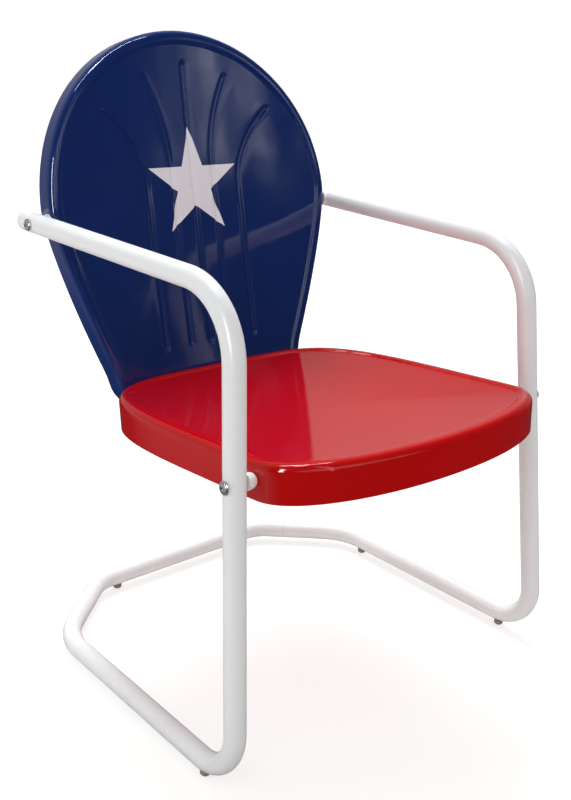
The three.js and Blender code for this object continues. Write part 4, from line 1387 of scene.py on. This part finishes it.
    def star_cutter(self, middle: Vector) -> Object:
        """A five-pointed bar whose section is the star."""
        leave_all()
        bpy.ops.mesh.primitive_cylinder_add(
            vertices=10, radius=self.star_radius, depth=self.cutter_depth, location=(*middle, 0),
        )
        bar = name_new("star_cutter")
        for vertex in bar.data.vertices:
            flat = vertex.co.xy - middle
            if round(math.atan2(flat.x, flat.y) / (math.pi / 5)) % 2:
                vertex.co.xy = flat * (self.star_waist / self.star_radius) + middle
        bar.data.update()
        return bar

    def place(self, tubes: TubeFrame) -> Matrix:
        """Where the back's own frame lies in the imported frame."""
        spot = tubes.point(0, self.setback, self.base_height)
        return Matrix.Translation(spot) @ Matrix.Rotation(QUARTER - self.lean, 4, "X")

    def build(self, tubes: TubeFrame) -> None:
        """Builds the back with its star on the frame that carries it."""
        face = self.face()
        star = self.star(face)
        self.thicken(face)
        for piece in (face, star):
            settle(piece, self.place(tubes))
        self.drill_sides(face, "back_spacer", self.bolt_hole, self.drill_length)
        smooth(face, self.crisp)
        smooth(star, self.crisp)
        hand_over(face, BLUE_ENAMEL, ["back_shell"])
        hand_over(star, STAR_PAINT, [])


# ---------------------------------------------------------------------------
# Bolts, washers, nuts, bushes, spacers, plugs and glides
# ---------------------------------------------------------------------------

# One turn of a screw thread: shares of its radius and of its pitch.
THREAD = ((0.87, 0.1), (1.0, 0.45), (1.0, 0.6))


def threaded(radius: float, start: float, end: float, pitch: float) -> list[tuple[float, float]]:
    """Profile steps of a screw thread.

    Args:
        radius: Outer radius of the thread.
        start: Where it starts.
        end: Where it ends.
        pitch: Distance from crest to crest.

    Returns:
        Radius and height of each step.
    """
    turns = max(1, int((end - start) / pitch))
    return [(radius * out, start + (i + up) * pitch) for i in range(turns) for out, up in THREAD]


@dataclass
class Fasteners:
    """All bolts, washers, nuts, bushes, spacers, plugs and glides.

    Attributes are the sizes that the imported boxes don't give.
    """

    bolt_radius: float = 4 * MM
    socket_across: float = 5 * MM
    socket_depth: float = 1.5 * MM
    head_radius: float = 7 * MM
    head_height: float = 2.6 * MM
    washer_radius: float = 8.5 * MM
    washer_thickness: float = 1 * MM
    washer_edge: float = 0.35 * MM
    nut_across: float = 13 * MM
    nut_height: float = 6.5 * MM
    nut_bevel: float = 0.55
    nut_face: float = 0.96
    bore: float = 4.3 * MM
    bush_radius: float = 11 * MM
    bush_tip: float = 6 * MM
    thread_length: float = 24 * MM
    thread_pitch: float = 1.25 * MM
    join_drop: float = 22 * MM
    join_spacing: float = 105 * MM
    join_radius: float = 3 * MM
    join_across: float = 10 * MM
    join_head: float = 4 * MM
    join_nut: float = 5 * MM
    join_grip: float = 3.2 * MM
    join_tail: float = 3 * MM
    join_washer_radius: float = 7 * MM
    join_pitch: float = 1.0 * MM
    play: float = 0.3 * MM
    plug_dome: float = 7 * MM
    plug_stem: float = 18 * MM

    def across(self, side: Side, node: str, from_outside: bool = False) -> Matrix:
        """The place of a piece that lies along X, pointing to its side of the chair.

        Args:
            side: The side.
            node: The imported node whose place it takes.
            from_outside: Whether the piece's zero is at the node's outer end.

        Returns:
            The place of its foot.
        """
        low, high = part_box(node)
        middle = (low + high) / 2
        reach = (max if from_outside else min)(abs(low.x), abs(high.x))
        spot = Matrix.Translation((side.value * reach, middle.y, middle.z))
        return spot @ turn_z_to(Vector((side.value, 0, 0)))

    def spread(
        self, pattern: Object, places: Places, finish: Finish = ZINC_PLATE, body: Body = Body.UPPER,
    ) -> None:
        """Puts a copy of a pattern at each of its places.

        Args:
            pattern: The piece to copy, at the origin.
            places: For each new piece, where it goes and the node that it stands for.
            finish: The copies' finish.
            body: The body they ride on.
        """
        for name, (place, node) in places.items():
            twin = settle(copy_of(pattern, name), place)
            smooth(twin)
            hand_over(twin, finish, [node], body)
        discard(pattern)

    def spread_sides(
        self, pattern: Object, name: str, node: str, finish: Finish = ZINC_PLATE,
    ) -> None:
        """Puts a copy of a pattern on each side of the chair, pointing outwards.

        Args:
            pattern: The piece to copy, at the origin.
            name: The new pieces' name, without the side's word.
            node: The node that they stand for, without the side's word.
            finish: The copies' finish.
        """
        nodes = {side: f"{side.label}_{node}" for side in Side}
        self.spread(pattern, {
            f"{side.label}_{name}": (self.across(side, twin), twin) for side, twin in nodes.items()
        }, finish)

    def washer(self, outer: float, bore: float, thickness: float) -> Object:
        """A pressed washer with a rounded upper edge."""
        edge = self.washer_edge
        return turned("pattern", [
            (bore, 0), (outer - edge, 0), (outer, edge), (outer, thickness - edge),
            (outer - edge, thickness), (bore + edge, thickness), (bore, thickness - edge),
        ], ring=True)

    def button_bolt(self, shank: float) -> Object:
        """A button-head bolt with a six-sided socket, its head above zero and its shank below."""
        radius, head, rise = self.bolt_radius, self.head_radius, self.head_height
        rim = 0.6 * MM
        profile = [(TIP, -shank), (radius - 0.9 * MM, -shank)]
        profile += threaded(radius, 0.4 * MM - shank, self.thread_length - shank, self.thread_pitch)
        profile += [(radius, self.thread_length + 1 * MM - shank), (radius, 0)]
        profile += [(head - 0.3 * MM, 0), (head, 0.4 * MM)]
        profile += [(head * out, rim + (rise - rim) * up) for out, up in arc(10, 76, 8)]
        profile += [(1.5 * MM, rise), (TIP, rise)]
        bolt = turned("pattern", profile)
        depth = self.socket_depth
        socket = six_sided("socket", self.socket_across, 2 * depth, rise - depth)
        combine(bolt, "DIFFERENCE", socket)
        return bolt

    def nut(self, across: float, height: float, bore: float) -> Object:
        """A six-sided nut with chamfered corners.

        Args:
            across: The distance across its flats.
            height: Its height.
            bore: The radius of its hole.

        Returns:
            The nut.
        """
        nut = six_sided("pattern", across, height)
        tip = corner_radius(across)
        chamfer = (tip - across / 2) * self.nut_bevel
        outer, end = tip + 0.05 * MM, across / 2 * self.nut_face
        combine(nut, "INTERSECT", turned("chamfer", [
            (end, 0), (outer, chamfer), (outer, height - chamfer), (end, height),
        ]))
        drill(nut, Vector((0, 0, height / 2)), Z_AXIS, bore, 2 * height)
        return nut

    def hex_bolt(self, shank: float) -> Object:
        """A hexagon join bolt whose head lies below zero and whose shank stands above it."""
        radius, seat = self.join_radius, -self.join_head * 0.95
        bolt = self.nut(self.join_across, self.join_head, 0.5 * MM)
        settle(bolt, Matrix.Translation((0, 0, -self.join_head)))
        profile = [(TIP, seat), (radius, seat), (radius, shank * 0.3)]
        profile += threaded(radius, shank * 0.32, shank - 0.8 * MM, self.join_pitch)
        profile += [(radius - 0.6 * MM, shank), (TIP, shank)]
        combine(bolt, "UNION", turned("stem", profile))
        return bolt

    def build_bolts(self) -> None:
        """Builds the four frame bolts with their washers and nuts."""
        for where in ("leg", "arm"):
            low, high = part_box(f"right_{where}_bolt")
            places = {}
            for side in Side:
                node = f"{side.label}_{where}_bolt"
                head = Matrix.Translation((0, 0, -self.head_height))
                places[f"{node}_socket_head"] = (self.across(side, node, True) @ head, node)
            self.spread(self.button_bolt(high.x - low.x - self.head_height), places)
        for where in ("leg", "arm"):
            for kind in (f"{where}_washer", f"{where}_inner_washer"):
                ring = self.washer(self.washer_radius, self.bore, self.washer_thickness)
                self.spread_sides(ring, f"{kind}_ring", kind)
            nut = self.nut(self.nut_across, self.nut_height, self.bore)
            self.spread_sides(nut, f"{where}_hexagon_nut", f"{where}_nut")

    def build_spacers(self) -> None:
        """Builds the spacers at the back and the domed bushes at the seat."""
        low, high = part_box("right_back_spacer")
        spacer = self.washer((high.z - low.z) / 2, self.bore, high.x - low.x)
        self.spread_sides(spacer, "spacer_bush", "back_spacer", POWDER_COAT)
        low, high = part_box("right_seat_bush")
        length, swell = high.x - low.x, self.bush_radius - self.bush_tip
        dome = [(self.bush_tip + swell * up, length * (1 - out)) for out, up in arc(0, 91, 9)]
        bush = turned("pattern", [(self.bore, 0), *dome, (self.bore, length)], ring=True)
        self.spread_sides(bush, "domed_bush", "seat_bush", PLUG_PLASTIC)

    def build_joins(self, back: BackPanel, tubes: TubeFrame) -> None:
        """Builds the three bolts that join the back to the seat.

        Args:
            back: The back that they hold.
            tubes: The frame that carries it.
        """
        reach, thickness = self.join_washer_radius, self.washer_thickness
        bore = self.join_radius + self.play
        offsets = {"right": -self.join_spacing, "middle": 0, "left": self.join_spacing}
        for word, offset in offsets.items():
            bow = offset * offset / (2 * back.bow_radius)
            tilt_gap = reach * abs(offset) / back.bow_radius
            rear = bow - back.step - back.sheet - self.play - tilt_gap
            inner = bow + back.sheet + self.join_grip
            top = rear - thickness - self.play
            shank = inner + self.join_nut + self.join_tail - top
            nut = (self.join_across, self.join_nut, bore)
            stack = (
                (self.washer, (reach, bore, thickness), rear - thickness, "ring", "washer"),
                (self.hex_bolt, (shank,), top, "hexagon_bolt", "bolt"),
                (self.nut, nut, inner, "hexagon_nut", "nut"),
            )
            for make, sizes, height, name, node in stack:
                shift = Matrix.Translation((offset, -self.join_drop, height))
                place = (back.place(tubes) @ shift, f"{word}_join_{node}")
                self.spread(make(*sizes), {f"{word}_join_{name}": place})

    def build_plugs(self, tubes: TubeFrame) -> None:
        """Builds the domed plugs in the arms' rear ends."""
        radius, lip, length = tubes.diameter / 2, 0.3 * MM, self.plug_stem
        stem = radius - tubes.wall - self.play
        profile = [(TIP, -2 * MM), (stem - 2 * MM, -2 * MM), (stem - 2 * MM, -length)]
        profile += [(stem - 0.5 * MM, -length), (stem, 1.5 * MM - length), (stem, lip)]
        profile += [(radius - 0.2 * MM, lip), (radius, 0.55 * MM)]
        profile += [(radius * out, lip + self.plug_dome * up) for out, up in arc(8, 90, 8)]
        profile.append((TIP, lip + self.plug_dome))
        places = {}
        for side in Side:
            at = tubes.corners(side)
            turn = turn_z_to((at["arm_end"] - at["arm_corner"]).normalized())
            place = Matrix.Translation(at["arm_end"]) @ turn
            places[f"{side.label}_arm_end_plug"] = (place, f"{side.label}_arm_plug")
        self.spread(turned("pattern", profile), places, PLUG_PLASTIC)

    def build_glides(self) -> None:
        """Builds the four glides under the base."""
        profile = [
            (0.1, 0), (4.3, 0), (5.0, 0.2), (6.4, 1.6), (7.0, 2.7), (7.0, 6.4), (6.8, 7.1),
            (6.2, 7.4), (3.0, 7.4), (3.0, 13.8), (2.6, 14.4), (0.1, 14.4),
        ]
        places = {}
        for node in ("right_front_glide", "left_front_glide", "rear_bar_glide", "left_rear_glide"):
            middle = middle_of(node)
            places[f"{node}_button"] = (Matrix.Translation((middle.x, middle.y, 0)), node)
        pattern = turned("pattern", [(radius * MM, height * MM) for radius, height in profile])
        self.spread(pattern, places, GLIDE_PLASTIC, Body.BASE)

    def build(self, back: BackPanel, tubes: TubeFrame) -> None:
        """Builds every small piece and dresses the ones hidden in the tubes."""
        self.build_bolts()
        self.build_spacers()
        self.build_joins(back, tubes)
        self.build_plugs(tubes)
        self.build_glides()
        for side in Side:
            SHOP.coat(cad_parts[f"{side.label}_base_sleeve"], DRAWN_STEEL)


# ---------------------------------------------------------------------------
# Camera, light and floor
# ---------------------------------------------------------------------------


# What the lamps look at: the middle of the chair.
AIM = Vector((0, 0, 0.45))


@dataclass(frozen=True)
class Lamp:
    """A soft box or a light strip that looks at the chair.

    Attributes:
        name: The lamp's name.
        place: Where it hangs.
        size: Its width and height.
        power: Its power in watts.
        mirrored: Whether it only shows as a highlight in glossy surfaces.
    """

    name: str
    place: tuple[float, float, float]
    size: tuple[float, float]
    power: float
    mirrored: bool = False

    def hang(self) -> None:
        """Adds the lamp to the scene."""
        data = bpy.data.lights.new(self.name, "AREA")
        data.shape = "RECTANGLE"
        data.size, data.size_y = self.size
        data.energy = self.power
        lamp = bpy.data.objects.new(self.name, data)
        lamp.visible_glossy = self.mirrored
        lamp.visible_diffuse = not self.mirrored
        turn = (AIM - Vector(self.place)).to_track_quat("-Z", "Y")
        lamp.matrix_world = Matrix.Translation(self.place) @ turn.to_matrix().to_4x4()
        bpy.context.scene.collection.objects.link(lamp)


LAMPS = (
    Lamp("key_soft_box", (-1.6, -1.2, 2.4), (1.4, 1.0), 8),
    Lamp("rear_soft_box", (0.9, 1.3, 2.8), (1.8, 1.4), 84),
    Lamp("side_soft_box", (-2.4, 0.8, 1.2), (0.6, 1.6), 9),
    Lamp("front_light_strip", (-0.3, -1.9, 1.6), (0.05, 2.8), 2, mirrored=True),
    Lamp("long_light_card", (0.0, 0.1, 2.8), (1.7, 0.07), 16, mirrored=True),
    Lamp("high_light_card", (-0.1, -0.2, 3.0), (0.4, 0.2), 7, mirrored=True),
    Lamp("right_light_card", (-2.2, -1.2, 1.5), (0.35, 1.6), 46, mirrored=True),
)


@dataclass
class Studio:
    """Camera at the photograph's angle, soft studio light and a pale floor.

    Attributes:
        eye: Where the camera stands.
        yaw: Its turn to the right from looking along +Y.
        pitch: Its tilt downwards.
        roll: Its tilt to one side.
        focal_pixels: Its focal length in pixels of the photograph.
        frame_height: The photograph's height in pixels.
        pale_behind: The room that gloss mirrors, by the direction's Y.
        bright_above: The room's light on all else, by the direction's Z.
        cloud_squeeze: How much flatter the mirrored clouds are than wide.
        cloud_scale: How fine they are.
        cloud_edges: Their strength by the noise.
        cloud_floor: Where they start, by the direction's Z.
        cloud_wall: Where they start, by the direction's Y.
        floor_size: The floor's length and width.
        floor_drop: How far it lies below the glides.
        floor_paint: Its colour.
        floor_tint: Its colour as gloss mirrors it.
        floor_glow: How bright the camera sees it.
        floor_white: How far the glow hides the floor's shadow, by the distance in metres.
        floor_aside: The floor that gloss mirrors, by X.
        floor_behind: How much of that there is, by Y.
        floor_dark: The least that gloss mirrors of the floor.
    """

    eye: tuple[float, float, float] = (-957.4 * MM, -808.9 * MM, 888.5 * MM)
    yaw: float = 0.726
    pitch: float = 0.337
    roll: float = 0.04
    focal_pixels: float = 1042.25
    frame_height: float = 800.0
    pale_behind: Fade = Fade(-0.25, 0.6, 0.05, 0.38)
    bright_above: Fade = Fade(-0.3, 0.8, 0.06, 0.74)
    cloud_squeeze: float = 3.5
    cloud_scale: float = 24.0
    cloud_edges: Fade = Fade(0.47, 0.62, 0.0, 2.6)
    cloud_floor: Fade = Fade(0.196, 0.222)
    cloud_wall: Fade = Fade(-0.72, -0.82)
    floor_size: float = 12.0
    floor_drop: float = 0.5 * MM
    floor_paint: str = "#efeae6"
    floor_tint: str = "#f2f4fa"
    floor_glow: float = 1.3
    floor_white: Fade = Fade(0.45, 1.3, 0.55, 1.0)
    floor_aside: Fade = Fade(-0.35, -1.0, 0.0, 0.42)
    floor_behind: Fade = Fade(-0.9, 0.1)
    floor_dark: float = 0.04

    def camera(self, tubes: TubeFrame) -> None:
        """Sets up the camera, whose place is given in the tubes' working frame."""
        right = Vector((math.cos(self.yaw), -math.sin(self.yaw), 0))
        level = math.cos(self.pitch)
        forward = Vector((
            math.sin(self.yaw) * level, math.cos(self.yaw) * level, -math.sin(self.pitch),
        ))
        up = right.cross(forward)
        across = right * math.cos(self.roll) + up * math.sin(self.roll)
        upright = up * math.cos(self.roll) - right * math.sin(self.roll)
        turn = Matrix((across, upright, -forward)).transposed().to_4x4()
        data = bpy.data.cameras.new("photo_camera")
        data.lens = data.sensor_width * self.focal_pixels / self.frame_height
        camera = bpy.data.objects.new("photo_camera", data)
        camera.matrix_world = Matrix.Translation(tubes.point(*self.eye)) @ turn
        bpy.context.scene.collection.objects.link(camera)
        bpy.context.scene.camera = camera

    def world(self) -> None:
        """Makes the room: white to the camera, pale behind the chair, dim behind the camera."""
        world = bpy.data.worlds.new("studio_room")
        bpy.context.scene.world = world
        tree = bare_tree(world)
        way = add_node(tree, "TexCoord").outputs["Generated"]
        axis = add_node(tree, "SeparateXYZ", {"Vector": way}).outputs
        pale = self.pale_behind.of(tree, axis["Y"])
        mirrored = maths(tree, "ADD", pale, self.clouds(tree, way, axis["Y"], axis["Z"]))
        rays = add_node(tree, "LightPath").outputs
        glossy = maths(tree, "MAXIMUM", rays["Is Glossy Ray"], rays["Is Transmission Ray"])
        unseen = add_node(tree, "Mix", {
            "Factor": glossy, 2: self.bright_above.of(tree, axis["Z"]), 3: mirrored,
        }, data_type="FLOAT")
        seen = add_node(tree, "Mix", {
            "Factor": rays["Is Camera Ray"], 2: unseen.outputs[0], 3: 1.0,
        }, data_type="FLOAT")
        shade = add_node(tree, "Background", {
            "Color": PURE_WHITE, "Strength": seen.outputs[0],
        })
        add_node(tree, "OutputWorld", {"Surface": shade.outputs["Background"]})

    def clouds(self, tree: NodeTree, way: NodeSocket, y: NodeSocket, z: NodeSocket) -> NodeSocket:
        """Soft pale patches in front of the chair, which the top of the back mirrors.

        Args:
            tree: The world's node tree.
            way: The direction that is looked in.
            y: Its part along Y.
            z: Its part along Z.

        Returns:
            Their strength.
        """
        squeeze = (1.0, 1.0, self.cloud_squeeze)
        flat = add_node(tree, "VectorMath", {0: way, 1: squeeze}, operation="MULTIPLY")
        lumps = noise(tree, flat.outputs["Vector"], self.cloud_scale, 4.0)
        strength = self.cloud_edges.of(tree, lumps)
        above = maths(tree, "MULTIPLY", strength, self.cloud_floor.of(tree, z))
        return maths(tree, "MULTIPLY", above, self.cloud_wall.of(tree, y))

    def floor(self) -> None:
        """Lays a plain pale floor that shows white but keeps the chair's shadow."""
        leave_all()
        bpy.ops.mesh.primitive_plane_add(size=self.floor_size, location=(0, 0, -self.floor_drop))
        floor = bpy.context.object
        floor.name = "studio_floor"
        material = bpy.data.materials.new("pale_floor")
        tree = bare_tree(material)
        rays = add_node(tree, "LightPath").outputs
        place = add_node(tree, "TexCoord").outputs["Object"]
        away = add_node(tree, "VectorMath", {0: place}, operation="LENGTH").outputs["Value"]
        white = maths(tree, "MULTIPLY", self.floor_white.of(tree, away), rays["Is Camera Ray"])
        paint = add_node(tree, "BsdfDiffuse", {"Color": linear(self.floor_paint)})
        glow = add_node(tree, "Emission", {"Color": PURE_WHITE, "Strength": self.floor_glow})
        seen = add_node(tree, "MixShader", {
            "Fac": white, 1: paint.outputs["BSDF"], 2: glow.outputs["Emission"],
        })
        axis = add_node(tree, "SeparateXYZ", {"Vector": place}).outputs
        aside, behind = self.floor_aside.of(tree, axis["X"]), self.floor_behind.of(tree, axis["Y"])
        strength = maths(tree, "MULTIPLY_ADD", aside, behind, self.floor_dark)
        mirrored = add_node(tree, "Emission", {
            "Color": linear(self.floor_tint), "Strength": strength,
        })
        whole = add_node(tree, "MixShader", {
            "Fac": rays["Is Glossy Ray"], 1: seen.outputs["Shader"],
            2: mirrored.outputs["Emission"],
        })
        add_node(tree, "OutputMaterial", {"Surface": whole.outputs["Shader"]})
        floor.data.materials.append(material)

    def build(self, tubes: TubeFrame) -> None:
        """Sets up camera, light and floor around the tubes' working frame."""
        self.camera(tubes)
        self.world()
        self.floor()
        for lamp in LAMPS:
            lamp.hang()
        bpy.context.scene.view_settings.view_transform = "Standard"


def main() -> None:
    """Builds the chair piece by piece and sets the stage."""
    logging.basicConfig(level=logging.INFO, format="%(message)s")
    tubes = TubeFrame()
    tubes.build()
    SeatPan().build(tubes)
    back = BackPanel()
    back.build(tubes)
    Fasteners().build(back, tubes)
    Studio().build(tubes)


if __name__ == "__main__":
    main()
